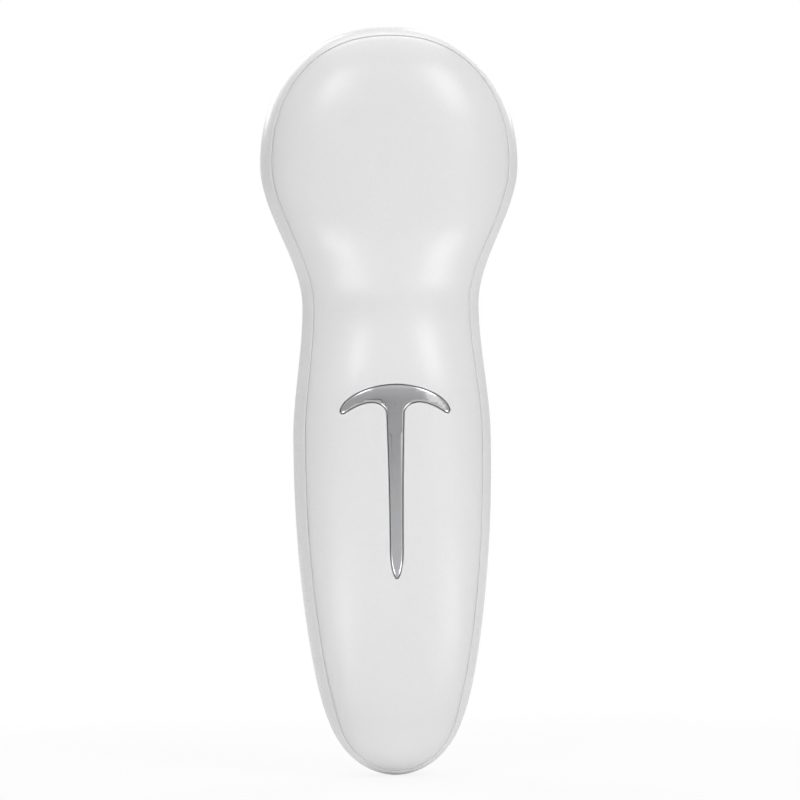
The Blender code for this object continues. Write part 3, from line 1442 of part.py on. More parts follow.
def main():
    clear_scene()
    centre = bpy.data.objects.new("body_centre", None)
    bpy.context.scene.collection.objects.link(centre)
    centre.location = (0, (HEAD_BACK_DEPTH - PROBE_FACE) / 2, 0)
    body_solid("outside", 0)
    body_solid("inlay_floor", INLAY_THICKNESS)
    body_solid("pocket_floor", POCKET_DEPTH)
    body_solid("middle_of_wall", WALL / 2)
    make_rear_cover()
    make_front_shell()
    make_hand_electrode()
    make_electrode_contact()
    make_probe()
    make_screws()
    make_boards()
    make_board_parts()
    make_controls()
    make_battery()
    make_charging_socket()
    make_wires()


main()
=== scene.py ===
import math

import bmesh
import bpy
from mathutils import Matrix, Vector


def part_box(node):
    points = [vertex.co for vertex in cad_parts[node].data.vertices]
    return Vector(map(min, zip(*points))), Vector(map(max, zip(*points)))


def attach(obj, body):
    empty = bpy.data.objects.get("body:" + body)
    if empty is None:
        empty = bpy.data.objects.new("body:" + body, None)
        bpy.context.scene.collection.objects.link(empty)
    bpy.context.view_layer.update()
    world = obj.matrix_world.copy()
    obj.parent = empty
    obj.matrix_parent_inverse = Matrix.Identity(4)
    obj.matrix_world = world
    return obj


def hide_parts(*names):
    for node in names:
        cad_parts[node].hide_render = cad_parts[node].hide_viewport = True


# The dressed model of the face massager: fine shells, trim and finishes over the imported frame.
# Metres, +Z up. The back with the hand electrode faces -Y, the treatment plate faces +Y.

# Fits
GAP = 0.0003
RUNNING_GAP = 0.00025
OVERRUN = 0.0030
WELD = 0.000001

# Body outline and depths, as in the part
LENGTH = 0.1851
HEAD_WIDTH = 0.0638
NECK_WIDTH = 0.0437
GRIP_WIDTH = 0.0490
TIP_CENTRE = 0.0220
HEAD_HEIGHT = 0.1510
NECK_HEIGHT = 0.1163
GRIP_HEIGHT = 0.0828
HEAD_FLAT = 0.0130
GRIP_FLAT = 0.0095
BACK_DEPTHS = (0.0120, 0.0149, 0.0106, 0.0150)
FRONT_DEPTHS = (0.0116, 0.0135, 0.0118, 0.0135)
TOP_SIDE_POWER = 2.22
TOP_END_POWER = 2.12
TAPER_SHARE = 0.42
TAPER_POWER = 2.2
TIP_SIDE_POWER = 1.9
TIP_END_POWER = 13.0
TIP_TURN_SHARE = 0.75
HEAD_CROWN_POWERS = (2.8, 2.3)
NECK_CROWN_POWERS = (1.9, 1.6)
GRIP_CROWN_POWERS = (2.8, 2.0)
TIP_CROWN_POWERS = (3.6, 2.3)
FRONT_CROWN_POWERS = (2.5, 2.1)
CENTRE_SHIFT = -0.00225
WALL = 0.0022
SEAM_INSET = 0.0027
SEAM_TIP_INSET = 0.0015
SEAM_GAP = 0.00008
COVER_ROLL = 0.0010
COVER_DROP = 0.00010
RIM_BEVEL = 0.00024
RIM_DROP = 0.00020
LAP_DEPTH = 0.00034
LAP_WIDTH = 0.0013
LAP_CLEARANCE = 0.0001
EDGE_STEP_SHARES = (0.6, 0.3, 0.1, 0.0)

# Inlays
INLAY_THICKNESS = 0.0010
POCKET_DEPTH = 0.0013
POCKET_CHAMFER = 0.0001
CELL = 0.0012
FINE_CELL = 0.0008
ELECTRODE_TOP = 0.0965
ELECTRODE_LENGTH = 0.04735
BAR_WIDTH = 0.0268
BAR_ARC_DROP = 0.0067
BAR_ARC_POWER = 1.85
BAR_END_OFFSET = 0.01254
BAR_END_DROP = 0.00683
BAR_CORNER_OFFSET = 0.01312
BAR_CORNER_DROP = 0.0068
UNDER_PEAK_OFFSET = 0.00584
UNDER_PEAK_DROP = 0.00415
UNDER_POWER = 1.78
STEM_JOIN_DROP = 0.00708
STEM_TOP_WIDTH = 0.0040
STEM_LOW_WIDTH = 0.00293
POINT_LENGTH = 0.0070
POINT_POWER = 1.8
ELECTRODE_CHAMFER = 0.00022
PANEL_WIDTH = 0.0150
PANEL_LENGTH = 0.0470
PANEL_CENTRE = 0.0872
PANEL_CHAMFER = 0.00020

# Treatment probe
PROBE_CENTRE = (0, 0, HEAD_HEIGHT)
PROBE_FACE = 0.0195
PLATE_RADIUS = 0.0208
PLATE_EDGE_RADIUS = 0.0018
PLATE_SKIRT = 0.0064
PLATE_THICKNESS = 0.0008
PLATE_CORNER_DEPTH = 0.0026
COLLAR_FACE = 0.0160
COLLAR_RADIUS = 0.0256
COLLAR_FOOT = 0.0030
COLLAR_EDGE_RADIUS = 0.0007
COLLAR_DRAFT = 0.0005
COLLAR_FILLET = 0.0024
COLLAR_SINK = 0.00003
COLLAR_LIP = 0.0014
BORE_RADIUS = 0.0226
RING_WIDTH = 0.0036
RING_HEIGHT = 0.0012
RING_TOP_SHARE = 0.96

# Controls
BUTTON_HEIGHTS = {"power": 0.0965, "mode": 0.0840, "level": 0.0715}
BUTTON_RADIUS = 0.0044
BUTTON_PROUD = 0.0006
BUTTON_EDGE = 0.0007
BUTTON_DISH = 0.0004
BUTTON_SKIRT = 0.0037
BUTTON_FLANGE = 0.0008
BUTTON_STEM_RADIUS = 0.0018
BUTTON_HOLE_START = 0.0060
PANEL_HOLE_START = 0.0090
HOLE_END = 0.0160
LENS_HEIGHT = 0.1052
LENS_OFFSETS = (-0.0040, 0.0, 0.0040)
LENS_RADIUS = 0.0008
LENS_CLEARANCE = 0.0001

# Charging socket
SOCKET_WIDTH = 0.0089
SOCKET_DEPTH = 0.0032
SOCKET_WALL = 0.0004
SOCKET_BOTTOM = 0.0014
SOCKET_LENGTH = 0.0073
SOCKET_AXIS = 0.0024
SOCKET_BACK = 0.0008
TONGUE_WIDTH = 0.0062
TONGUE_THICKNESS = 0.0007
TONGUE_START = 0.0008
TONGUE_END = 0.0007
TONGUE_BEVEL = 0.00012
CONTACT_COUNT = 8
CONTACT_PITCH = 0.0007
CONTACT_WIDTH = 0.00032
CONTACT_THICKNESS = 0.00006
CONTACT_START = 0.0011
CONTACT_END = 0.0050

# Angles in degrees above which an edge stays sharp
SHELL_SHARP = 38
INLAY_SHARP = 28
TURNED_SHARP = 40
KEY_SHARP = 35
SOCKET_SHARP = 30
BOX_SHARP = 32

# Steps of the shells' rings, and of the turned pieces all the way round
FACE_RINGS = 44
RIM_RINGS = 10
LAP_RINGS = 5
INNER_RINGS = 10
COLLAR_STEPS = 128
COLLAR_FILLET_STEPS = 8
PLATE_STEPS = 128
PLATE_EDGE_STEPS = 10
RING_STEPS = 160
RING_ARC_STEPS = 20
KEY_STEPS = 64
KEY_DISH_STEPS = 8
KEY_EDGE_STEPS = 6
LENS_HOLE_STEPS = 32
SOCKET_END_STEPS = 48
STADIUM_END_STEPS = 32
LENS_CARD_STEPS = 48
BISECTIONS = 40

# Finishes: noise scales, reliefs in metres, swings of the roughness, and shares of light and tone
SLOW_SCALE = 45
METAL_SLOW_SCALE = 90
SLOW_RELIEF = 0.00003
MOULD_SCALE = 7000
MOULD_RELIEF = 0.000004
MOULD_SWING = (-0.03, 0.03)
COAT_ROUGHNESS = 0.08
GRAIN_SWING = (-0.06, 0.06)
HAIRLINE_STRETCH = (9000, 9000, 300)
HAIRLINE_RELIEF = 0.0000012
HAIRLINE_SWING = (-0.04, 0.05)
GROOVE_SCALE = 9000
GROOVE_RELIEF = 0.000002
GROOVE_SWING = (-0.05, 0.07)
LENS_CLEARNESS = 0.35
LENS_MILKINESS = 0.3
LENS_MILK_DEPTH = 0.0005
LENS_SCALE = 900
LENS_RELIEF = 0.000004
LENS_SWING = (-0.04, 0.04)
METAL_DARK_SHARE = 0.95

# Camera: angles in degrees, and the width in metres that the picture shows at the body
BODY_MIDDLE = (0, 0, LENGTH / 2)
CAMERA_AZIMUTH = -3.5
CAMERA_ROLL = 0.68
CAMERA_DISTANCE = 1.1
CAMERA_TARGET = (0.0022, 0, LENGTH / 2 + 0.0002)
CAMERA_SENSOR = 36
CAMERA_CLIP = 20
PICTURE_WIDTH = 0.1986
LENS_CARD_RADIUS = 0.07

# Floor and world. The glow share is the floor's near the massager, and it is 1 further out.
# The gloss share says how much of the white backdrop shows in reflections.
FLOOR_SIZE = 4
FLOOR_GLOW_SHARE = 0.85
FLOOR_GLOW_START = 0.10
FLOOR_GLOW_END = 0.26
BACKDROP_GLOSS_SHARE = 0.55
WORLD_LIGHT_BELOW = 0.290
WORLD_LIGHT_ABOVE = 0.325
WORLD_LEAN = (0.1, 0, 1)
WORLD_LEAN_RANGE = (-0.6, 1.0)
WORLD_GLOSS_RANGE = (0.0, 0.5)

# Softboxes: azimuth and elevation in degrees, distance, width and height in metres, power in watts,
# and the two uses: whether it lights the massager, and whether reflections show it.
# Azimuth 0 is the camera's side, and an elevation past 90 lies behind the massager.
SOFTBOXES = {
    "left_softbox": (-24, 38, 0.8, 0.20, 0.28, 0.84, True, True),
    "right_softbox": (32, 36, 0.8, 0.22, 0.34, 1.15, True, True),
    "right_strip": (28, 8, 0.8, 0.30, 0.36, 0.26, True, True),
    "left_side_softbox": (-78, 4, 0.9, 0.60, 0.50, 0.40, True, False),
    "right_side_softbox": (78, 4, 0.9, 0.60, 0.50, 0.36, True, False),
    "low_softbox": (0, -17.5, 0.28, 0.36, 0.03, 0.14, True, False),
    "top_softbox": (0, 88, 0.9, 0.90, 0.70, 2.4, True, True),
    "back_left_softbox": (-150, 30, 1.0, 0.60, 0.60, 2.6, True, True),
    "back_right_softbox": (150, 30, 1.0, 0.60, 0.60, 2.6, True, True),
    "rear_strip": (0, 107, 0.9, 0.80, 0.28, 1.7, False, True),
}

# Low panels in front, which only reflections under the head show: azimuth and power
LOW_PANELS = {"left_low_panel": (-31, 0.12), "right_low_panel": (39, 0.13)}
LOW_PANEL_DISTANCE = 0.19
LOW_PANEL_HEIGHT = 0.012
LOW_PANEL_SIZE = 0.10

# The narrow beam along the floor that lights the underside of the tip
TIP_BEAM_DISTANCE = 0.07
TIP_BEAM_HEIGHT = 0.002
TIP_BEAM_WIDTH = 0.06
TIP_BEAM_THICKNESS = 0.003
TIP_BEAM_SPREAD = 24
TIP_BEAM_POWER = 0.00026

# The side of the body that a shape lies on, and a quarter turn
BACK = -1
FRONT = 1
QUARTER = math.pi / 2


# Shapes of the skin

def blend(share):
    """A smooth step from 0 to 1."""
    share = min(max(share, 0), 1)
    return share * share * (3 - 2 * share)


def along(height, stations):
    """A value at a height, blended smoothly between stations of (height, value)."""
    for (low, low_value), (high, high_value) in zip(stations, stations[1:]):
        if height <= high:
            return low_value + (high_value - low_value) * blend((height - low) / (high - low))
    return stations[-1][1]


def half_width(height):
    """Half the outline's width at a height: tapered grip, waisted neck and domed head."""
    if height < GRIP_HEIGHT:
        share = min((GRIP_HEIGHT - height) / GRIP_HEIGHT, 1)
        taper = 1 - TAPER_SHARE * share**TAPER_POWER
        return GRIP_WIDTH / 2 * taper * (1 - share**TIP_END_POWER) ** (1 / TIP_SIDE_POWER)
    if height > HEAD_HEIGHT:
        share = min((height - HEAD_HEIGHT) / (LENGTH - HEAD_HEIGHT), 1)
        return HEAD_WIDTH / 2 * (1 - share**TOP_END_POWER) ** (1 / TOP_SIDE_POWER)
    return along(height, [
        (GRIP_HEIGHT, GRIP_WIDTH / 2),
        (NECK_HEIGHT, NECK_WIDTH / 2),
        (HEAD_HEIGHT, HEAD_WIDTH / 2),
    ])


def depth_at(height, side):
    """How far the skin's crown lies from the body's middle at a height."""
    if side == BACK:
        heights = (0, GRIP_HEIGHT + GRIP_FLAT, NECK_HEIGHT, HEAD_HEIGHT - HEAD_FLAT)
        return along(height, list(zip(heights, BACK_DEPTHS)))
    heights = (0, GRIP_HEIGHT, NECK_HEIGHT, HEAD_HEIGHT)
    return along(height, list(zip(heights, FRONT_DEPTHS)))


def crown_powers(height, side):
    """The two powers of the section's curve at a height: across the body, and in depth."""
    if side == FRONT:
        return FRONT_CROWN_POWERS
    powers = (TIP_CROWN_POWERS, GRIP_CROWN_POWERS, NECK_CROWN_POWERS, HEAD_CROWN_POWERS)
    heights = (TIP_CENTRE, GRIP_HEIGHT + GRIP_FLAT, NECK_HEIGHT, HEAD_HEIGHT - HEAD_FLAT)
    height = max(height, TIP_CENTRE)
    return tuple(along(height, [(h, p[i]) for h, p in zip(heights, powers)]) for i in (0, 1))


def outline():
    """Points (x, z) up the right side of the widest outline, from the tip to the top."""
    heights = []
    tip_steps, taper_steps, waist_steps, shoulder_steps, top_steps = 24, 22, 22, 24, 30
    for step in range(tip_steps):
        turn = QUARTER * TIP_TURN_SHARE * step / tip_steps
        heights.append(GRIP_HEIGHT * (1 - math.cos(turn) ** (2 / TIP_END_POWER)))
    bend = GRIP_HEIGHT * (1 - math.cos(QUARTER * TIP_TURN_SHARE) ** (2 / TIP_END_POWER))
    for step in range(taper_steps):
        heights.append(bend + (GRIP_HEIGHT - bend) * step / taper_steps)
    for step in range(waist_steps):
        heights.append(GRIP_HEIGHT + (NECK_HEIGHT - GRIP_HEIGHT) * step / waist_steps)
    for step in range(shoulder_steps):
        heights.append(NECK_HEIGHT + (HEAD_HEIGHT - NECK_HEIGHT) * step / shoulder_steps)
    for step in range(top_steps):
        rise = math.sin(QUARTER * step / top_steps) ** (2 / TOP_END_POWER)
        heights.append(HEAD_HEIGHT + (LENGTH - HEAD_HEIGHT) * rise)
    return [(half_width(height), height) for height in heights] + [(0, LENGTH)]


def skin_point(rim, angle, side, inset=0):
    """A point of the skin: the angle is 0 on the crown and a right angle on the outline."""
    x, z = rim
    spine = min(max(z, TIP_CENTRE), HEAD_HEIGHT)
    reach = math.hypot(x, z - spine)
    across, deep = crown_powers(spine, side)
    share = (1 - inset / reach) * max(math.sin(angle), 0) ** (2 / across)
    height = spine + (z - spine) * share
    depth = (depth_at(height, side) - inset) * max(math.cos(angle), 0) ** (2 / deep)
    return Vector((x * share, side * depth + CENTRE_SHIFT, height))


def angle_in_plan(rim, plan, side, inset=0):
    """The angle of the skin point that lies this far inside the outline, seen square-on."""
    x, z = rim
    spine = min(max(z, TIP_CENTRE), HEAD_HEIGHT)
    reach = math.hypot(x, z - spine)
    across, _ = crown_powers(spine, side)
    share = (1 - plan / reach) / (1 - inset / reach)
    return math.asin(min(share, 1) ** (across / 2))


def seam_plan(rim):
    """How far inside the outline the parting line runs at a rim point."""
    return along(rim[1], [(0, SEAM_TIP_INSET), (TIP_CENTRE, SEAM_INSET)])


def skin_depth(x, height, side, inset=0):
    """The skin's depth over any point of the head, neck or grip."""
    across, deep = crown_powers(height, side)
    if height <= HEAD_HEIGHT:
        share = abs(x) / (half_width(height) - inset)
    else:
        low, high = HEAD_HEIGHT, LENGTH
        for _ in range(BISECTIONS):
            middle = (low + high) / 2
            if half_width(middle) * (height - HEAD_HEIGHT) > abs(x) * (middle - HEAD_HEIGHT):
                low = middle
            else:
                high = middle
        reach = math.hypot(half_width(low), low - HEAD_HEIGHT)
        share = math.hypot(x, height - HEAD_HEIGHT) / (reach - inset)
    return (depth_at(height, side) - inset) * max(1 - share**across, 0) ** (1 / deep)


# Mesh making

def band(rings):
    """A closed band of quads through rings of points, made on a grid and welded shut."""
    columns = len(rings[0])
    rows = len(rings) - 1
    bm = bmesh.new()
    bmesh.ops.create_grid(bm, x_segments=columns, y_segments=rows, size=0.5)
    for vert in bm.verts:
        column = round((vert.co.x + 0.5) * columns) % columns
        vert.co = rings[round((vert.co.y + 0.5) * rows)][column]
    bmesh.ops.remove_doubles(bm, verts=bm.verts, dist=WELD)
    return bm


def ring_of(rims, angle_of, side, inset=0):
    """A closed ring of skin points, one at each rim point's own angle, on both halves."""
    right = [skin_point(rim, angle_of(rim), side, inset) for rim in rims]
    left = [Vector((-p.x, p.y, p.z)) for p in reversed(right[1:-1])]
    return right + left


def rings_between(rims, start_of, end_of, steps, side, inset=0):
    """Rings in even steps from one angle to another."""
    rings = []
    for step in range(steps + 1):
        share = step / steps
        rings.append(ring_of(
            rims, lambda rim: start_of(rim) * (1 - share) + end_of(rim) * share, side, inset))
    return rings


def spun(profile, steps, centre, closed):
    """A piece turned about an axis along Y. An open profile starts and ends on the axis."""
    bm = bmesh.new()
    corners = [bm.verts.new((radius, y, 0)) for radius, y in profile]
    pairs = list(zip(corners, corners[1:]))
    if closed:
        pairs.append((corners[-1], corners[0]))
    edges = [bm.edges.new(pair) for pair in pairs]
    bmesh.ops.spin(
        bm, geom=corners + edges, axis=(0, 1, 0), cent=(0, 0, 0),
        steps=steps, angle=2 * math.pi, use_merge=True,
    )
    bmesh.ops.remove_doubles(bm, verts=bm.verts, dist=WELD)
    bmesh.ops.translate(bm, vec=Vector(centre) + Vector((0, CENTRE_SHIFT, 0)), verts=bm.verts)
    return bm


def rounded(corner, before, after, radius, steps=5):
    """Profile points that round one corner between its two neighbours."""
    corner, before, after = Vector(corner), Vector(before), Vector(after)
    start = corner + (before - corner).normalized() * radius
    end = corner + (after - corner).normalized() * radius
    points = []
    for step in range(steps + 1):
        share = step / steps
        point = start * (1 - share) ** 2 + corner * 2 * share * (1 - share) + end * share**2
        points.append((point.x, point.y))
    return points


def grown(points, distance):
    """The clockwise outline moved outwards by a distance."""
    moved = []
    for i, (x, z) in enumerate(points):
        before = points[i - 1]
        after = points[(i + 1) % len(points)]
        run = Vector((after[0] - before[0], after[1] - before[1])).normalized()
        moved.append((x - run.y * distance, z + run.x * distance))
    return moved


def curved_block(levels, cell, side):
    """A solid that follows the skin, with levels of (outline, inset) from outside to inside."""
    bm = bmesh.new()
    loops = []
    for points, inset in levels:
        corners = [bm.verts.new((x, inset, z)) for x, z in points]
        loops.append([bm.edges.new((corners[i - 1], corners[i])) for i in range(len(corners))])
    for upper, lower in zip(loops, loops[1:]):
        bmesh.ops.bridge_loops(bm, edges=upper + lower)
    for loop in (loops[0], loops[-1]):
        cap = bmesh.ops.edgeloop_fill(bm, edges=loop)["faces"][0]
        slice_face(bm, cap, cell)
    for vert in bm.verts:
        # Up to here a vertex's y is how deep it lies under the skin
        vert.co.y = side * skin_depth(vert.co.x, vert.co.z, side, vert.co.y) + CENTRE_SHIFT
    return bm


def pocket_block(points, side):
    """The cutter for an inlay's pocket, with a fine chamfer at its mouth."""
    mouth = grown(points, RUNNING_GAP + POCKET_CHAMFER)
    wall = grown(points, RUNNING_GAP)
    return curved_block(
        [(mouth, -OVERRUN), (mouth, 0), (wall, POCKET_CHAMFER), (wall, POCKET_DEPTH)], CELL, side)


def inlay_block(points, chamfer, cell, side):
    """An inlay that lies flush in the skin, with a softened chamfer round its face."""
    return curved_block([
        (grown(points, -chamfer), 0),
        (grown(points, -chamfer / 4), chamfer / 3),
        (points, chamfer),
        (points, INLAY_THICKNESS),
    ], cell, side)


def slice_face(bm, cap, cell):
    """Cuts a flat face into cells, so that it can follow a curve."""
    region = [cap]
    for axis in (0, 2):
        places = [vert.co[axis] for part in region for vert in part.verts]
        low, high = min(places), max(places)
        count = max(int((high - low) / cell), 1)
        for step in range(1, count):
            place = [0, 0, 0]
            place[axis] = low + (high - low) * step / count
            normal = [0, 0, 0]
            normal[axis] = 1
            edges = {edge for part in region for edge in part.edges}
            cut = bmesh.ops.bisect_plane(
                bm, geom=region + list(edges), dist=WELD, plane_co=place, plane_no=normal)
            region = [item for item in cut["geom"] if isinstance(item, bmesh.types.BMFace)]


def add_piece(name, bm, finish, body="housing", sharp=BOX_SHARP):
    """A finished piece made of a bmesh, with its faces turned outwards."""
    bm.normal_update()
    bmesh.ops.recalc_face_normals(bm, faces=bm.faces)
    mesh = bpy.data.meshes.new(name)
    bm.to_mesh(mesh)
    bm.free()
    return finish_piece(name, mesh, finish, body, sharp)


def finish_piece(name, mesh, finish, body, sharp):
    """The object of a mesh, shaded, with its finish, and fixed to the body that carries it."""
    mesh.shade_smooth()
    mesh.set_sharp_from_angle(angle=math.radians(sharp))
    mesh.materials.clear()
    mesh.materials.append(finish)
    piece = bpy.data.objects.new(name, mesh)
    bpy.context.scene.collection.objects.link(piece)
    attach(piece, body)
    return piece


def plain_object(name, bm):
    """An object of a bmesh, linked to the scene."""
    mesh = bpy.data.meshes.new(name)
    bm.to_mesh(mesh)
    bm.free()
    made = bpy.data.objects.new(name, mesh)
    bpy.context.scene.collection.objects.link(made)
    return made


def rough_object(bm):
    """A solid for a cut or a join, removed once it has been used."""
    bm.normal_update()
    bmesh.ops.recalc_face_normals(bm, faces=bm.faces)
    return plain_object("rough", bm)


def combined(bm, steps):
    """The mesh after joins and cuts with other solids, each given as (operation, bmesh)."""
    base = rough_object(bm)
    others = []
    for operation, other in steps:
        tool = rough_object(other)
        others.append(tool)
        boolean = base.modifiers.new("step", "BOOLEAN")
        boolean.operation = operation
        boolean.object = tool
        boolean.solver = "EXACT"
    graph = bpy.context.evaluated_depsgraph_get()
    mesh = bpy.data.meshes.new_from_object(base.evaluated_get(graph))
    for rough in [base] + others:
        bpy.data.objects.remove(rough, do_unlink=True)
    return mesh


def cylinder(radius, near, far, x, z, steps=KEY_STEPS):
    """A round cutter along Y between two depths."""
    bm = bmesh.new()
    turn = Matrix.Rotation(QUARTER, 4, "X")
    place = Matrix.Translation((x, (near + far) / 2 + CENTRE_SHIFT, z))
    bmesh.ops.create_cone(
        bm, cap_ends=True, segments=steps, radius1=radius, radius2=radius,
        depth=abs(far - near), matrix=place @ turn)
    return bm


# Finishes

def new_finish(name, colour, roughness, metallic=0.0):
    """A new node material, its tree and its shader."""
    made = bpy.data.materials.new(name)
    made.use_nodes = True
    shader = made.node_tree.nodes["Principled BSDF"]
    shader.inputs["Base Color"].default_value = (*colour, 1)
    shader.inputs["Roughness"].default_value = roughness
    shader.inputs["Metallic"].default_value = metallic
    return made, made.node_tree, shader


def place_of(tree, scale=(1, 1, 1), centre=(0, 0, 0)):
    """The piece's own coordinates in metres, moved to a centre and stretched."""
    coords = tree.nodes.new("ShaderNodeTexCoord")
    mapping = tree.nodes.new("ShaderNodeMapping")
    mapping.inputs["Location"].default_value = [-c * s for c, s in zip(centre, scale)]
    mapping.inputs["Scale"].default_value = scale
    tree.links.new(coords.outputs["Object"], mapping.inputs["Vector"])
    return mapping.outputs["Vector"]


def noise(tree, vector, scale, detail=2.0, roughness=0.5):
    """A noise value between 0 and 1 at a place."""
    made = tree.nodes.new("ShaderNodeTexNoise")
    made.inputs["Scale"].default_value = scale
    made.inputs["Detail"].default_value = detail
    made.inputs["Roughness"].default_value = roughness
    tree.links.new(vector, made.inputs["Vector"])
    return made.outputs["Fac"]


def spread(tree, value, low, high, start=0.3, end=0.7):
    """A value spread smoothly over a range."""
    ramp = tree.nodes.new("ShaderNodeMapRange")
    ramp.interpolation_type = "SMOOTHERSTEP"
    ramp.inputs["From Min"].default_value = start
    ramp.inputs["From Max"].default_value = end
    ramp.inputs["To Min"].default_value = low
    ramp.inputs["To Max"].default_value = high
    tree.links.new(value, ramp.inputs["Value"])
    return ramp.outputs["Result"]


def tint(tree, value, dark, light):
    """A colour between two, chosen by a value."""
    mix = tree.nodes.new("ShaderNodeMix")
    mix.data_type = "RGBA"
    mix.inputs["A"].default_value = (*dark, 1)
    mix.inputs["B"].default_value = (*light, 1)
    tree.links.new(value, mix.inputs["Factor"])
    return mix.outputs["Result"]


def maths(tree, operation, first, second):
    """One operation on two values, each a socket or a number."""
    made = tree.nodes.new("ShaderNodeMath")
    made.operation = operation
    for socket, value in zip(made.inputs, (first, second)):
        if isinstance(value, bpy.types.NodeSocket):
            tree.links.new(value, socket)
        else:
            socket.default_value = value
    return made.outputs[0]


def vary_colour(tree, shader, value, dark, light):
    """A base colour that follows a value between two tones."""
    tree.links.new(tint(tree, spread(tree, value, 0, 1), dark, light), shader.inputs["Base Color"])


def vary_roughness(tree, shader, value, swing):
    """A roughness that follows a value, between two offsets from the shader's own."""
    low, high = (shader.inputs["Roughness"].default_value + offset for offset in swing)
    tree.links.new(spread(tree, value, low, high), shader.inputs["Roughness"])


def add_bump(tree, shader, height, distance):
    """Relief of a real height in metres on the shader's normal."""
    bump = tree.nodes.new("ShaderNodeBump")
    bump.inputs["Distance"].default_value = distance
    bump.inputs["Strength"].default_value = 1.0
    tree.links.new(height, bump.inputs["Height"])
    before = shader.inputs["Normal"].links
    if before:
        tree.links.new(before[0].from_socket, bump.inputs["Normal"])
    tree.links.new(bump.outputs["Normal"], shader.inputs["Normal"])


def moulded(name, dark, light, roughness, relief=MOULD_RELIEF, coat=0.0):
    """Moulded plastic: a fine mould texture over a very slow unevenness."""
    made, tree, shader = new_finish(name, light, roughness)
    place = place_of(tree)
    slow = noise(tree, place, SLOW_SCALE)
    fine = noise(tree, place, MOULD_SCALE)
    vary_colour(tree, shader, slow, dark, light)
    vary_roughness(tree, shader, fine, MOULD_SWING)
    if coat:
        shader.inputs["Coat Weight"].default_value = coat
        shader.inputs["Coat Roughness"].default_value = COAT_ROUGHNESS
    add_bump(tree, shader, slow, SLOW_RELIEF)
    add_bump(tree, shader, fine, relief)
    return made


def polished_metal(name, colour, roughness):
    """Plated metal with faint hairlines along the piece and a slow waviness."""
    made, tree, shader = new_finish(name, colour, roughness, 1.0)
    lines = noise(tree, place_of(tree, HAIRLINE_STRETCH), scale=1, detail=3)
    slow = noise(tree, place_of(tree), METAL_SLOW_SCALE)
    vary_colour(tree, shader, slow, [part * METAL_DARK_SHARE for part in colour], colour)
    vary_roughness(tree, shader, lines, HAIRLINE_SWING)
    add_bump(tree, shader, slow, SLOW_RELIEF)
    add_bump(tree, shader, lines, HAIRLINE_RELIEF)
    return made


def turned_metal(name, colour, roughness, centre):
    """Metal turned on a lathe: fine rings about the axis along Y."""
    made, tree, shader = new_finish(name, colour, roughness, 1.0)
    parts = tree.nodes.new("ShaderNodeSeparateXYZ")
    tree.links.new(place_of(tree, centre=centre), parts.inputs["Vector"])
    flat = tree.nodes.new("ShaderNodeCombineXYZ")
    tree.links.new(parts.outputs["X"], flat.inputs["X"])
    tree.links.new(parts.outputs["Z"], flat.inputs["Y"])
    length = tree.nodes.new("ShaderNodeVectorMath")
    length.operation = "LENGTH"
    tree.links.new(flat.outputs["Vector"], length.inputs[0])
    rings = tree.nodes.new("ShaderNodeTexNoise")
    rings.noise_dimensions = "1D"
    rings.inputs["Scale"].default_value = GROOVE_SCALE
    rings.inputs["Detail"].default_value = 3
    tree.links.new(length.outputs["Value"], rings.inputs["W"])
    grooves = rings.outputs["Fac"]
    vary_colour(tree, shader, grooves, [part * METAL_DARK_SHARE for part in colour], colour)
    vary_roughness(tree, shader, grooves, GROOVE_SWING)
    add_bump(tree, shader, grooves, GROOVE_RELIEF)
    return made


def grained(name, dark, light, roughness, scale, relief, metallic=0.0):
    """A surface with one grain: foam, ceramic, ferrite, solder mask, rubber or plain metal."""
    made, tree, shader = new_finish(name, light, roughness, metallic)
    grain = noise(tree, place_of(tree), scale, detail=4, roughness=0.6)
    vary_colour(tree, shader, grain, dark, light)
    vary_roughness(tree, shader, grain, GRAIN_SWING)
    add_bump(tree, shader, grain, relief)
    return made


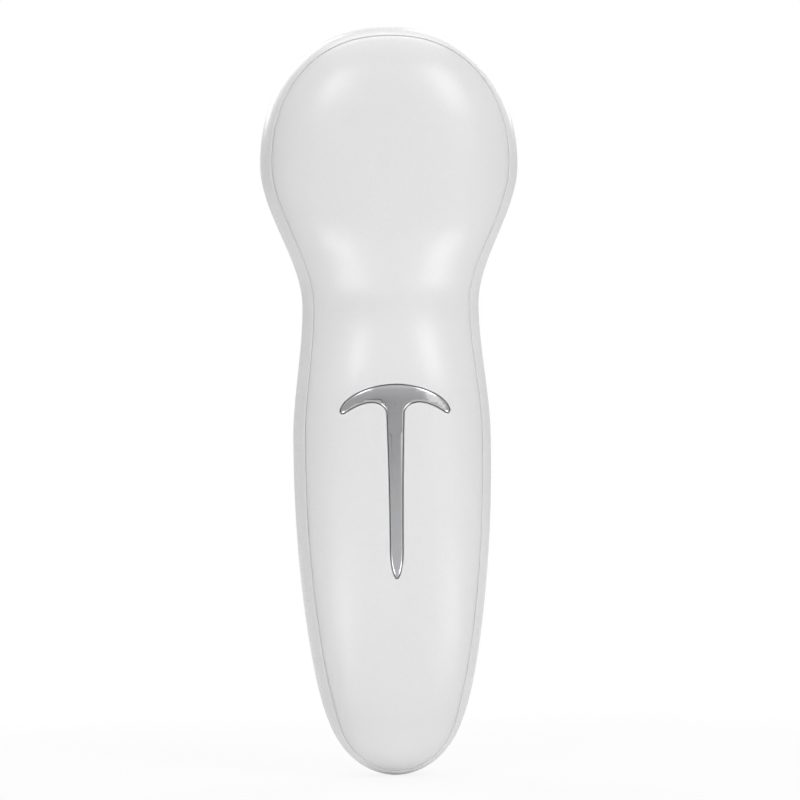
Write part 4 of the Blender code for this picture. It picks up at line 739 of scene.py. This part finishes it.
def make_finishes():
    """Every finish of the massager, by a plain name."""
    return {
        "shell": moulded("shell_plastic", (0.790, 0.790, 0.792), (0.80, 0.80, 0.80), 0.27),
        "panel": moulded(
            "panel_plastic", (0.72, 0.72, 0.73), (0.75, 0.75, 0.76), 0.18, 0.000002, coat=0.5),
        "button": moulded("button_plastic", (0.56, 0.57, 0.59), (0.60, 0.61, 0.63), 0.36, 0.000008),
        "inner": moulded("inner_plastic", (0.52, 0.53, 0.55), (0.56, 0.57, 0.59), 0.50),
        "black": moulded("black_plastic", (0.03, 0.03, 0.03), (0.045, 0.045, 0.045), 0.45),
        "sleeve": moulded("sleeve", (0.04, 0.17, 0.40), (0.05, 0.20, 0.46), 0.30),
        "red_wire": moulded("red_wire", (0.52, 0.03, 0.03), (0.60, 0.04, 0.03), 0.45),
        "black_wire": moulded("black_wire", (0.025, 0.025, 0.025), (0.035, 0.035, 0.035), 0.45),
        "electrode": polished_metal("electrode_metal", (0.47, 0.47, 0.48), 0.13),
        "chrome": polished_metal("ring_metal", (0.62, 0.62, 0.63), 0.10),
        "steel": turned_metal("plate_steel", (0.58, 0.57, 0.56), 0.24, PROBE_CENTRE),
        "socket": polished_metal("socket_steel", (0.50, 0.50, 0.50), 0.28),
        "screw": grained(
            "screw_metal", (0.30, 0.30, 0.31), (0.40, 0.40, 0.41), 0.35, 2500, 0.000005,
            metallic=1.0),
        "brass": grained(
            "contact_brass", (0.62, 0.47, 0.22), (0.72, 0.57, 0.30), 0.28, 3000, 0.000003,
            metallic=1.0),
        "seal": grained(
            "seal_silicone", (0.40, 0.41, 0.43), (0.47, 0.48, 0.50), 0.62, 5000, 0.000006),
        "foam": grained("foam", (0.03, 0.03, 0.03), (0.08, 0.08, 0.08), 0.93, 2600, 0.00012),
        "board": grained("board", (0.02, 0.17, 0.07), (0.03, 0.24, 0.11), 0.42, 3500, 0.000010),
        "ferrite": grained(
            "ferrite", (0.09, 0.09, 0.095), (0.14, 0.14, 0.15), 0.62, 4000, 0.000015),
        "ceramic": grained("ceramic", (0.66, 0.60, 0.46), (0.74, 0.68, 0.54), 0.45, 5000, 0.000004),
        "lens": lens_finish(),
    }


def lens_finish():
    """Milky clear plastic with a slow unevenness."""
    made, tree, shader = new_finish("lens", (0.86, 0.89, 0.91), 0.14)
    shader.inputs["Transmission Weight"].default_value = LENS_CLEARNESS
    shader.inputs["Subsurface Weight"].default_value = LENS_MILKINESS
    shader.inputs["Subsurface Scale"].default_value = LENS_MILK_DEPTH
    slow = noise(tree, place_of(tree), LENS_SCALE)
    vary_colour(tree, shader, slow, (0.83, 0.86, 0.88), (0.88, 0.91, 0.93))
    vary_roughness(tree, shader, slow, LENS_SWING)
    add_bump(tree, shader, slow, LENS_RELIEF)
    return made


# Shells

def make_rear_cover(finishes, rims):
    """The domed back cover, with a rounded edge on the parting line and the electrode's recess."""
    def edge(extra, inset=0):
        """Where the skin lies this far inside the parting line."""
        return lambda rim: angle_in_plan(rim, seam_plan(rim) + extra, BACK, inset)

    rings = rings_between(rims, lambda rim: 0, edge(COVER_ROLL), FACE_RINGS, BACK)
    for share in EDGE_STEP_SHARES:
        drop = COVER_DROP * (1 - share) ** 2
        rings.append(ring_of(rims, edge(COVER_ROLL * share, drop), BACK, drop))
    rings.append(ring_of(rims, edge(0, LAP_DEPTH), BACK, LAP_DEPTH))
    rings.append(ring_of(rims, edge(LAP_WIDTH, LAP_DEPTH), BACK, LAP_DEPTH))
    rings += rings_between(rims, edge(LAP_WIDTH, WALL), lambda rim: 0, INNER_RINGS, BACK, WALL)
    mesh = combined(band(rings), [("DIFFERENCE", pocket_block(electrode_outline(), BACK))])
    cover = finish_piece(
        "back_cover", mesh, finishes["shell"], "housing", SHELL_SHARP)
    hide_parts("rear_cover")


def make_front_shell(finishes, rims):
    """The front housing, which wraps round the sides to the parting line on the back."""
    def lip(extra, inset=0):
        """Where the skin lies this far inside the rim's own edge."""
        return lambda rim: angle_in_plan(rim, seam_plan(rim) - SEAM_GAP + extra, BACK, inset)

    rings = rings_between(rims, lambda rim: 0, lambda rim: QUARTER, FACE_RINGS, FRONT)
    rings += rings_between(rims, lambda rim: QUARTER, lip(-RIM_BEVEL), RIM_RINGS, BACK)[1:]
    for share in EDGE_STEP_SHARES:
        drop = RIM_DROP * (1 - share)
        rings.append(ring_of(rims, lip(-RIM_BEVEL * share, drop), BACK, drop))
    land = LAP_DEPTH + LAP_CLEARANCE
    rings.append(ring_of(rims, lip(0, land), BACK, land))
    rings.append(ring_of(rims, lip(LAP_WIDTH, land), BACK, land))
    rings += rings_between(rims, lip(LAP_WIDTH, WALL), lambda rim: QUARTER, LAP_RINGS, BACK, WALL)
    rings += rings_between(rims, lambda rim: QUARTER, lambda rim: 0, INNER_RINGS, FRONT, WALL)[1:]
    panel = stadium(PANEL_WIDTH, PANEL_LENGTH, PANEL_CENTRE)
    steps = [
        ("DIFFERENCE", pocket_block(panel, FRONT)),
        ("DIFFERENCE", socket_block(RUNNING_GAP, -OVERRUN, SOCKET_LENGTH)),
    ]
    for height in BUTTON_HEIGHTS.values():
        hole = cylinder(BUTTON_RADIUS + RUNNING_GAP, BUTTON_HOLE_START, HOLE_END, 0, height)
        steps.append(("DIFFERENCE", hole))
    steps.append(("UNION", make_collar()))
    steps.append(("DIFFERENCE", spun([
        (0, 0),
        (BORE_RADIUS, 0),
        (BORE_RADIUS, COLLAR_FACE - COLLAR_LIP),
        (PLATE_RADIUS + GAP, COLLAR_FACE - COLLAR_LIP),
        (PLATE_RADIUS + GAP, COLLAR_FACE + OVERRUN),
        (0, COLLAR_FACE + OVERRUN),
    ], COLLAR_STEPS, PROBE_CENTRE, False)))
    mesh = combined(band(rings), steps)
    shell = finish_piece(
        "front_housing", mesh, finishes["shell"], "housing", SHELL_SHARP)
    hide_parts("front_shell")


def make_collar():
    """The probe's round tower, with a fillet that lands on the dome all the way round."""
    wall = COLLAR_RADIUS + COLLAR_DRAFT
    land = wall + COLLAR_FILLET
    just_inside = land - COLLAR_FILLET / 10
    rings = []
    for step in range(COLLAR_STEPS):
        turn = 2 * math.pi * step / COLLAR_STEPS
        across, up = math.cos(turn), math.sin(turn)
        landing, inner = (
            skin_depth(across * radius, HEAD_HEIGHT + up * radius, FRONT)
            for radius in (land, just_inside))
        slope = (inner - landing) / (land - just_inside)
        sunk = landing - COLLAR_SINK
        turn_in = (wall, sunk + slope * COLLAR_FILLET)
        top_of_fillet = (wall, turn_in[1] + COLLAR_FILLET)
        profile = [(0, COLLAR_FOOT), (COLLAR_RADIUS, COLLAR_FOOT)]
        for part in range(COLLAR_FILLET_STEPS + 1):
            share = part / COLLAR_FILLET_STEPS
            first, second, third = (1 - share) ** 2, 2 * share * (1 - share), share**2
            profile.append((
                land * first + turn_in[0] * second + top_of_fillet[0] * third,
                sunk * first + turn_in[1] * second + top_of_fillet[1] * third,
            ))
        corner = (COLLAR_RADIUS, COLLAR_FACE)
        profile += rounded(corner, top_of_fillet, (0, COLLAR_FACE), COLLAR_EDGE_RADIUS)
        profile.append((0, COLLAR_FACE))
        rings.append([
            Vector((across * r, y + CENTRE_SHIFT, HEAD_HEIGHT + up * r)) for r, y in profile])
    # The grid's columns run round the axis, and its rows along the profile
    return band([[ring[row] for ring in rings] for row in range(len(rings[0]))])


def electrode_outline():
    """The electrode's outline, clockwise from the middle of its top."""
    right = []
    arc_steps = 24
    for step in range(1, arc_steps):
        turn = QUARTER * step / arc_steps
        drop = BAR_ARC_DROP * (1 - math.cos(turn) ** (2 / BAR_ARC_POWER))
        right.append((BAR_WIDTH / 2 * math.sin(turn) ** (2 / BAR_ARC_POWER), drop))
    right.append((BAR_CORNER_OFFSET, BAR_CORNER_DROP))
    under_steps = 14
    for step in range(under_steps):
        share = 1 - step / under_steps
        x = UNDER_PEAK_OFFSET + (BAR_END_OFFSET - UNDER_PEAK_OFFSET) * share
        drop = UNDER_PEAK_DROP + (BAR_END_DROP - UNDER_PEAK_DROP) * share**UNDER_POWER
        right.append((x, drop))
    fillet_steps = 12
    for step in range(fillet_steps):
        turn = QUARTER * step / fillet_steps
        x = UNDER_PEAK_OFFSET - (UNDER_PEAK_OFFSET - STEM_TOP_WIDTH / 2) * math.sin(turn)
        drop = STEM_JOIN_DROP - (STEM_JOIN_DROP - UNDER_PEAK_DROP) * math.cos(turn)
        right.append((x, drop))
    stem_steps = 24
    stem_end = ELECTRODE_LENGTH - POINT_LENGTH
    for step in range(stem_steps):
        share = step / stem_steps
        width = STEM_LOW_WIDTH + (STEM_TOP_WIDTH - STEM_LOW_WIDTH) * (1 - share) ** 2
        right.append((width / 2, STEM_JOIN_DROP + (stem_end - STEM_JOIN_DROP) * share))
    point_steps = 12
    for step in range(point_steps):
        turn = QUARTER * step / point_steps
        width = STEM_LOW_WIDTH * math.cos(turn) ** (2 / POINT_POWER)
        right.append((width / 2, stem_end + POINT_LENGTH * math.sin(turn) ** (2 / POINT_POWER)))
    drops = [(0, 0)] + right + [(0, ELECTRODE_LENGTH)] + [(-x, d) for x, d in reversed(right)]
    return [(x, ELECTRODE_TOP - drop) for x, drop in drops]


def stadium(width, length, centre):
    """An upright outline with round ends, clockwise from its left side's top."""
    radius = width / 2
    straight = (length - width) / 2
    points = []
    for end, start in ((1, math.pi), (-1, 0)):
        for step in range(STADIUM_END_STEPS + 1):
            turn = start - math.pi * step / STADIUM_END_STEPS
            height = centre + end * straight + radius * math.sin(turn)
            points.append((radius * math.cos(turn), height))
    return points


def make_hand_electrode(finishes):
    """The polished inlay in the back, with a fine chamfer round its edge."""
    block = inlay_block(electrode_outline(), ELECTRODE_CHAMFER, FINE_CELL, BACK)
    inlay = add_piece("electrode_inlay", block, finishes["electrode"],
                      sharp=INLAY_SHARP)
    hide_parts("hand_electrode")


# Probe, controls and socket

def make_probe(finishes):
    """The treatment plate, a thin drawn cup with a rounded edge, and the trim ring round it."""
    plate_profile = [(0, PROBE_FACE), (PLATE_RADIUS / 2, PROBE_FACE)]
    corner = (PLATE_RADIUS, PROBE_FACE)
    plate_profile += rounded(corner, (0, PROBE_FACE), (PLATE_RADIUS, 0), PLATE_EDGE_RADIUS,
                             PLATE_EDGE_STEPS)
    plate_profile += [
        (PLATE_RADIUS, PROBE_FACE - PLATE_SKIRT),
        (PLATE_RADIUS - PLATE_THICKNESS, PROBE_FACE - PLATE_SKIRT),
        (PLATE_RADIUS - PLATE_THICKNESS, PROBE_FACE - PLATE_CORNER_DEPTH),
        (PLATE_RADIUS / 2, PROBE_FACE - PLATE_THICKNESS),
        (0, PROBE_FACE - PLATE_THICKNESS),
    ]
    plate = add_piece("treatment_plate", spun(plate_profile, PLATE_STEPS, PROBE_CENTRE, False),
                      finishes["steel"], sharp=TURNED_SHARP)
    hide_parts("probe_plate")
    inner = PLATE_RADIUS + GAP
    foot = COLLAR_FACE + GAP
    ring_profile = [(inner, foot), (inner + RING_WIDTH, foot)]
    for step in range(RING_ARC_STEPS + 1):
        turn = math.pi * step / RING_ARC_STEPS
        radius = inner + RING_WIDTH / 2 * (1 + math.cos(turn) * RING_TOP_SHARE)
        ring_profile.append((radius, foot + RING_HEIGHT / 2 * (1 + math.sin(turn))))
    ring = add_piece("trim_ring", spun(ring_profile, RING_STEPS, PROBE_CENTRE, True),
                     finishes["chrome"], sharp=TURNED_SHARP)
    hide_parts("probe_ring")


def make_control_panel(finishes):
    """The glossy inlay on the front, with round holes for the buttons and the lights."""
    face = stadium(PANEL_WIDTH, PANEL_LENGTH, PANEL_CENTRE)
    block = inlay_block(face, PANEL_CHAMFER, CELL, FRONT)
    steps = []
    for height in BUTTON_HEIGHTS.values():
        hole = cylinder(BUTTON_RADIUS + RUNNING_GAP, PANEL_HOLE_START, HOLE_END, 0, height)
        steps.append(("DIFFERENCE", hole))
    for x in LENS_OFFSETS:
        hole = cylinder(LENS_RADIUS + LENS_CLEARANCE, PANEL_HOLE_START, HOLE_END, x, LENS_HEIGHT,
                        LENS_HOLE_STEPS)
        steps.append(("DIFFERENCE", hole))
    mesh = combined(block, steps)
    panel = finish_piece("button_panel", mesh, finishes["panel"], "housing",
                         INLAY_SHARP)
    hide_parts("control_panel")


def make_button(name, height, finishes):
    """A round button with a dished top, kept to the solid's place and stem."""
    low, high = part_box(f"{name}_button")
    back = low.y - CENTRE_SHIFT
    face = depth_at(height, FRONT) + BUTTON_PROUD
    flange = (high.x - low.x) / 2
    profile = [(0, face - BUTTON_DISH)]
    rim = BUTTON_RADIUS - BUTTON_EDGE
    for step in range(1, KEY_DISH_STEPS + 1):
        share = step / KEY_DISH_STEPS
        profile.append((rim * share, face - BUTTON_DISH * (1 - share**2) ** 2))
    corner = (BUTTON_RADIUS, face)
    profile += rounded(corner, (0, face), (BUTTON_RADIUS, 0), BUTTON_EDGE, KEY_EDGE_STEPS)[1:]
    shoulder = face - BUTTON_SKIRT
    profile += [
        (BUTTON_RADIUS, shoulder),
        (flange, shoulder),
        (flange, shoulder - BUTTON_FLANGE),
        (BUTTON_STEM_RADIUS, shoulder - BUTTON_FLANGE),
        (BUTTON_STEM_RADIUS, back),
        (0, back),
    ]
    button = add_piece(
        f"{name}_key", spun(profile, KEY_STEPS, (0, 0, height), False), finishes["button"],
        body=f"{name}_key", sharp=KEY_SHARP)
    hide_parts(f"{name}_button")


def socket_block(grow, low, high):
    """A block with the socket's round-ended section, along Z."""
    radius = SOCKET_DEPTH / 2 + grow
    straight = (SOCKET_WIDTH - SOCKET_DEPTH) / 2
    bm = bmesh.new()
    made = bmesh.ops.create_circle(bm, cap_ends=True, segments=SOCKET_END_STEPS, radius=radius)
    for vert in made["verts"]:
        if abs(vert.co.x) > WELD:
            vert.co.x += math.copysign(straight, vert.co.x)
    bmesh.ops.translate(bm, vec=(0, SOCKET_AXIS + CENTRE_SHIFT, low), verts=bm.verts)
    drawn = bmesh.ops.extrude_face_region(bm, geom=list(bm.faces))
    moved = [item for item in drawn["geom"] if isinstance(item, bmesh.types.BMVert)]
    bmesh.ops.translate(bm, vec=(0, 0, high - low), verts=moved)
    return bm


def make_socket(finishes):
    """The socket's metal mouth, its tongue, and the contacts on both of the tongue's sides."""
    top = SOCKET_BOTTOM + SOCKET_LENGTH
    cavity = socket_block(-SOCKET_WALL, SOCKET_BOTTOM - OVERRUN, top - SOCKET_BACK)
    mesh = combined(socket_block(0, SOCKET_BOTTOM, top), [("DIFFERENCE", cavity)])
    mouth = finish_piece(
        "socket_shell", mesh, finishes["socket"], "housing", SOCKET_SHARP)
    tongue = bmesh.new()
    across, deep = TONGUE_WIDTH / 2, TONGUE_THICKNESS / 2
    add_box(tongue, (-across, SOCKET_AXIS - deep, SOCKET_BOTTOM + TONGUE_START),
            (across, SOCKET_AXIS + deep, top - TONGUE_END))
    bmesh.ops.bevel(tongue, geom=list(tongue.edges), offset=TONGUE_BEVEL, segments=2, profile=0.5,
                    affect="EDGES", material=-1)
    add_piece("socket_tongue", tongue, finishes["black"])
    contacts = bmesh.new()
    half, thick = CONTACT_WIDTH / 2, CONTACT_THICKNESS / 2
    for side in (BACK, FRONT):
        y = SOCKET_AXIS + side * deep
        for step in range(CONTACT_COUNT):
            x = (step - (CONTACT_COUNT - 1) / 2) * CONTACT_PITCH
            add_box(contacts, (x - half, y - thick, SOCKET_BOTTOM + CONTACT_START),
                    (x + half, y + thick, SOCKET_BOTTOM + CONTACT_END))
    add_piece("socket_contacts", contacts, finishes["brass"])
    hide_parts("charging_socket")


def add_box(bm, low, high):
    """Adds a box between two corners, given in the body's own depth."""
    low, high = Vector(low), Vector(high)
    low.y += CENTRE_SHIFT
    high.y += CENTRE_SHIFT
    place = Matrix.Translation((low + high) / 2) @ Matrix.Diagonal((*(high - low), 1))
    bmesh.ops.create_cube(bm, size=1, matrix=place)


# Carried-over nodes

NODE_FINISHES = {
    "screw": ("electrode_clip_upper", "electrode_clip_lower", "holder_screw_", "board_screw_",
              "charge_screw_", "power_switch", "mode_switch", "level_switch"),
    "brass": ("electrode_contact",),
    "seal": ("probe_seal",),
    "foam": ("transducer_pad", "battery_pad"),
    "ceramic": ("piezo_disc",),
    "inner": ("transducer_holder",),
    "board": ("main_board", "charging_board"),
    "ferrite": ("driver_coil", "driver_transformer"),
    "sleeve": ("driver_capacitor", "battery_cell"),
    "black": ("control_chip", "power_plunger", "mode_plunger", "level_plunger"),
    "lens": ("status_led_", "status_lens_"),
    "red_wire": ("battery_lead_red", "transducer_lead_red"),
    "black_wire": ("battery_lead_black", "transducer_lead_black", "charging_lead"),
}


def dress_nodes(nodes, finishes):
    """Gives every node that stays as it was packed its finish."""
    for finish, starts in NODE_FINISHES.items():
        for name, node in nodes.items():
            if name.startswith(starts):
                for slot in node.material_slots:
                    slot.material = finishes[finish]


# Stage, lights and camera

def seen_directly(tree, gloss_share):
    """1 for rays from the camera or through clear surfaces, and a share of it for glossy ones."""
    path = tree.nodes.new("ShaderNodeLightPath")
    gloss = maths(tree, "MULTIPLY", path.outputs["Is Glossy Ray"], gloss_share)
    camera, through = path.outputs["Is Camera Ray"], path.outputs["Is Transmission Ray"]
    direct = maths(tree, "MAXIMUM", camera, through)
    return maths(tree, "MAXIMUM", direct, gloss)


def make_floor():
    """White paper that glows to the camera, less so near the massager, where its shadow shows."""
    bm = bmesh.new()
    bmesh.ops.create_grid(bm, x_segments=1, y_segments=1, size=FLOOR_SIZE)
    floor = plain_object("floor", bm)
    made, tree, shader = new_finish("floor_paper", (0.88, 0.88, 0.88), 0.9)
    shader.inputs["Specular IOR Level"].default_value = 0.0
    glow = tree.nodes.new("ShaderNodeEmission")
    length = tree.nodes.new("ShaderNodeVectorMath")
    length.operation = "LENGTH"
    tree.links.new(place_of(tree), length.inputs[0])
    far = spread(
        tree, length.outputs["Value"], FLOOR_GLOW_SHARE, 1, FLOOR_GLOW_START, FLOOR_GLOW_END)
    strength = maths(tree, "MULTIPLY", seen_directly(tree, BACKDROP_GLOSS_SHARE), far)
    both = tree.nodes.new("ShaderNodeMixShader")
    tree.links.new(strength, both.inputs["Fac"])
    tree.links.new(shader.outputs["BSDF"], both.inputs[1])
    tree.links.new(glow.outputs["Emission"], both.inputs[2])
    tree.links.new(both.outputs["Shader"], tree.nodes["Material Output"].inputs["Surface"])
    floor.data.materials.append(made)


def make_world():
    """A white backdrop to the camera, and a soft even light on the massager."""
    world = bpy.data.worlds.new("studio")
    bpy.context.scene.world = world
    world.use_nodes = True
    tree = world.node_tree
    background = tree.nodes["Background"]
    background.inputs["Color"].default_value = (1, 1, 1, 1)
    coords = tree.nodes.new("ShaderNodeTexCoord")
    lean = tree.nodes.new("ShaderNodeVectorMath")
    lean.operation = "DOT_PRODUCT"
    lean.inputs[1].default_value = WORLD_LEAN
    tree.links.new(coords.outputs["Generated"], lean.inputs[0])
    light = spread(
        tree, lean.outputs["Value"], WORLD_LIGHT_BELOW, WORLD_LIGHT_ABOVE, *WORLD_LEAN_RANGE)
    mix = tree.nodes.new("ShaderNodeMix")
    mix.data_type = "FLOAT"
    mix.inputs["B"].default_value = 1.0
    parts = tree.nodes.new("ShaderNodeSeparateXYZ")
    tree.links.new(coords.outputs["Generated"], parts.inputs["Vector"])
    above = spread(tree, parts.outputs["Z"], BACKDROP_GLOSS_SHARE, 1.0, *WORLD_GLOSS_RANGE)
    tree.links.new(seen_directly(tree, above), mix.inputs["Factor"])
    tree.links.new(light, mix.inputs["A"])
    tree.links.new(mix.outputs["Result"], background.inputs["Strength"])


def direction(azimuth, elevation=0):
    """The unit vector from the massager at two angles in degrees."""
    turn, rise = math.radians(azimuth), math.radians(elevation)
    level = math.cos(rise)
    return Vector((math.sin(turn) * level, -math.cos(turn) * level, math.sin(rise)))


def area_light(name, width, height, power, diffuse, glossy):
    """A soft rectangular light that the camera doesn't see."""
    lamp = bpy.data.lights.new(name, "AREA")
    lamp.shape = "RECTANGLE"
    lamp.size = width
    lamp.size_y = height
    lamp.energy = power
    light = bpy.data.objects.new(name, lamp)
    bpy.context.scene.collection.objects.link(light)
    light.visible_camera = False
    light.visible_diffuse = diffuse
    light.visible_glossy = glossy
    return light


def add_softbox(name, azimuth, elevation, distance, width, height, power, diffuse, glossy):
    """A light that faces the middle of the massager."""
    light = area_light(name, width, height, power, diffuse, glossy)
    away = direction(azimuth, elevation)
    light.location = Vector(BODY_MIDDLE) + away * distance
    light.rotation_euler = away.to_track_quat("Z", "Y").to_euler()


def add_low_panel(name, azimuth, power):
    """A small light that lies low in front, faces up and shows as a streak under the head."""
    light = area_light(name, LOW_PANEL_SIZE, LOW_PANEL_SIZE, power, False, True)
    light.location = direction(azimuth) * LOW_PANEL_DISTANCE + Vector((0, 0, LOW_PANEL_HEIGHT))
    light.rotation_euler = (math.pi, 0, 0)


def add_tip_beam():
    """A narrow beam along the floor, for the underside of the tip."""
    light = area_light("tip_beam", TIP_BEAM_WIDTH, TIP_BEAM_THICKNESS, TIP_BEAM_POWER, True, False)
    light.data.spread = math.radians(TIP_BEAM_SPREAD)
    light.location = (0, -TIP_BEAM_DISTANCE, TIP_BEAM_HEIGHT)
    light.rotation_euler = (QUARTER, 0, 0)


def add_lens_card():
    """A dark disc round the camera's lens, which only reflections show."""
    bm = bmesh.new()
    bmesh.ops.create_circle(bm, cap_ends=True, segments=LENS_CARD_STEPS, radius=LENS_CARD_RADIUS)
    card = plain_object("lens_card", bm)
    made, _, shader = new_finish("lens_card", (0.02, 0.02, 0.02), 0.8)
    shader.inputs["Specular IOR Level"].default_value = 0.0
    card.data.materials.append(made)
    away = direction(CAMERA_AZIMUTH)
    card.location = Vector(BODY_MIDDLE) + away * CAMERA_DISTANCE
    card.rotation_euler = away.to_track_quat("Z", "Y").to_euler()
    card.visible_camera = False
    card.visible_diffuse = False
    card.visible_shadow = False


def make_camera():
    """The photograph's view of the back: slightly from the left, level, with a trace of roll."""
    camera = bpy.data.cameras.new("camera")
    view = bpy.data.objects.new("camera", camera)
    bpy.context.scene.collection.objects.link(view)
    away = direction(CAMERA_AZIMUTH)
    view.location = Vector(CAMERA_TARGET) + away * CAMERA_DISTANCE
    roll = Matrix.Rotation(-math.radians(CAMERA_ROLL), 4, "Z")
    turn = away.to_track_quat("Z", "Y").to_matrix().to_4x4() @ roll
    view.rotation_euler = turn.to_euler()
    camera.sensor_width = CAMERA_SENSOR
    camera.lens = camera.sensor_width * CAMERA_DISTANCE / PICTURE_WIDTH
    camera.clip_end = CAMERA_CLIP
    bpy.context.scene.camera = view


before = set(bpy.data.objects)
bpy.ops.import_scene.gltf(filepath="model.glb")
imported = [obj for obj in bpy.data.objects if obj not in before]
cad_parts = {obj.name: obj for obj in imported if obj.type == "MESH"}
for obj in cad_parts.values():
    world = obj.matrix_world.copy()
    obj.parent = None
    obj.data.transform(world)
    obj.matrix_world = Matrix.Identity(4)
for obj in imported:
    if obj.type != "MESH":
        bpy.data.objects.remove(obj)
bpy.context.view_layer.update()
finishes = make_finishes()
rims = outline()
make_rear_cover(finishes, rims)
make_front_shell(finishes, rims)
make_hand_electrode(finishes)
make_probe(finishes)
make_control_panel(finishes)
for button_name, button_height in BUTTON_HEIGHTS.items():
    make_button(button_name, button_height, finishes)
make_socket(finishes)
dress_nodes(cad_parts, finishes)

make_floor()
make_world()
for light_name, settings in SOFTBOXES.items():
    add_softbox(light_name, *settings)
for light_name, settings in LOW_PANELS.items():
    add_low_panel(light_name, *settings)
add_tip_beam()
add_lens_card()
make_camera()

view = bpy.context.scene.view_settings
view.view_transform = "Standard"
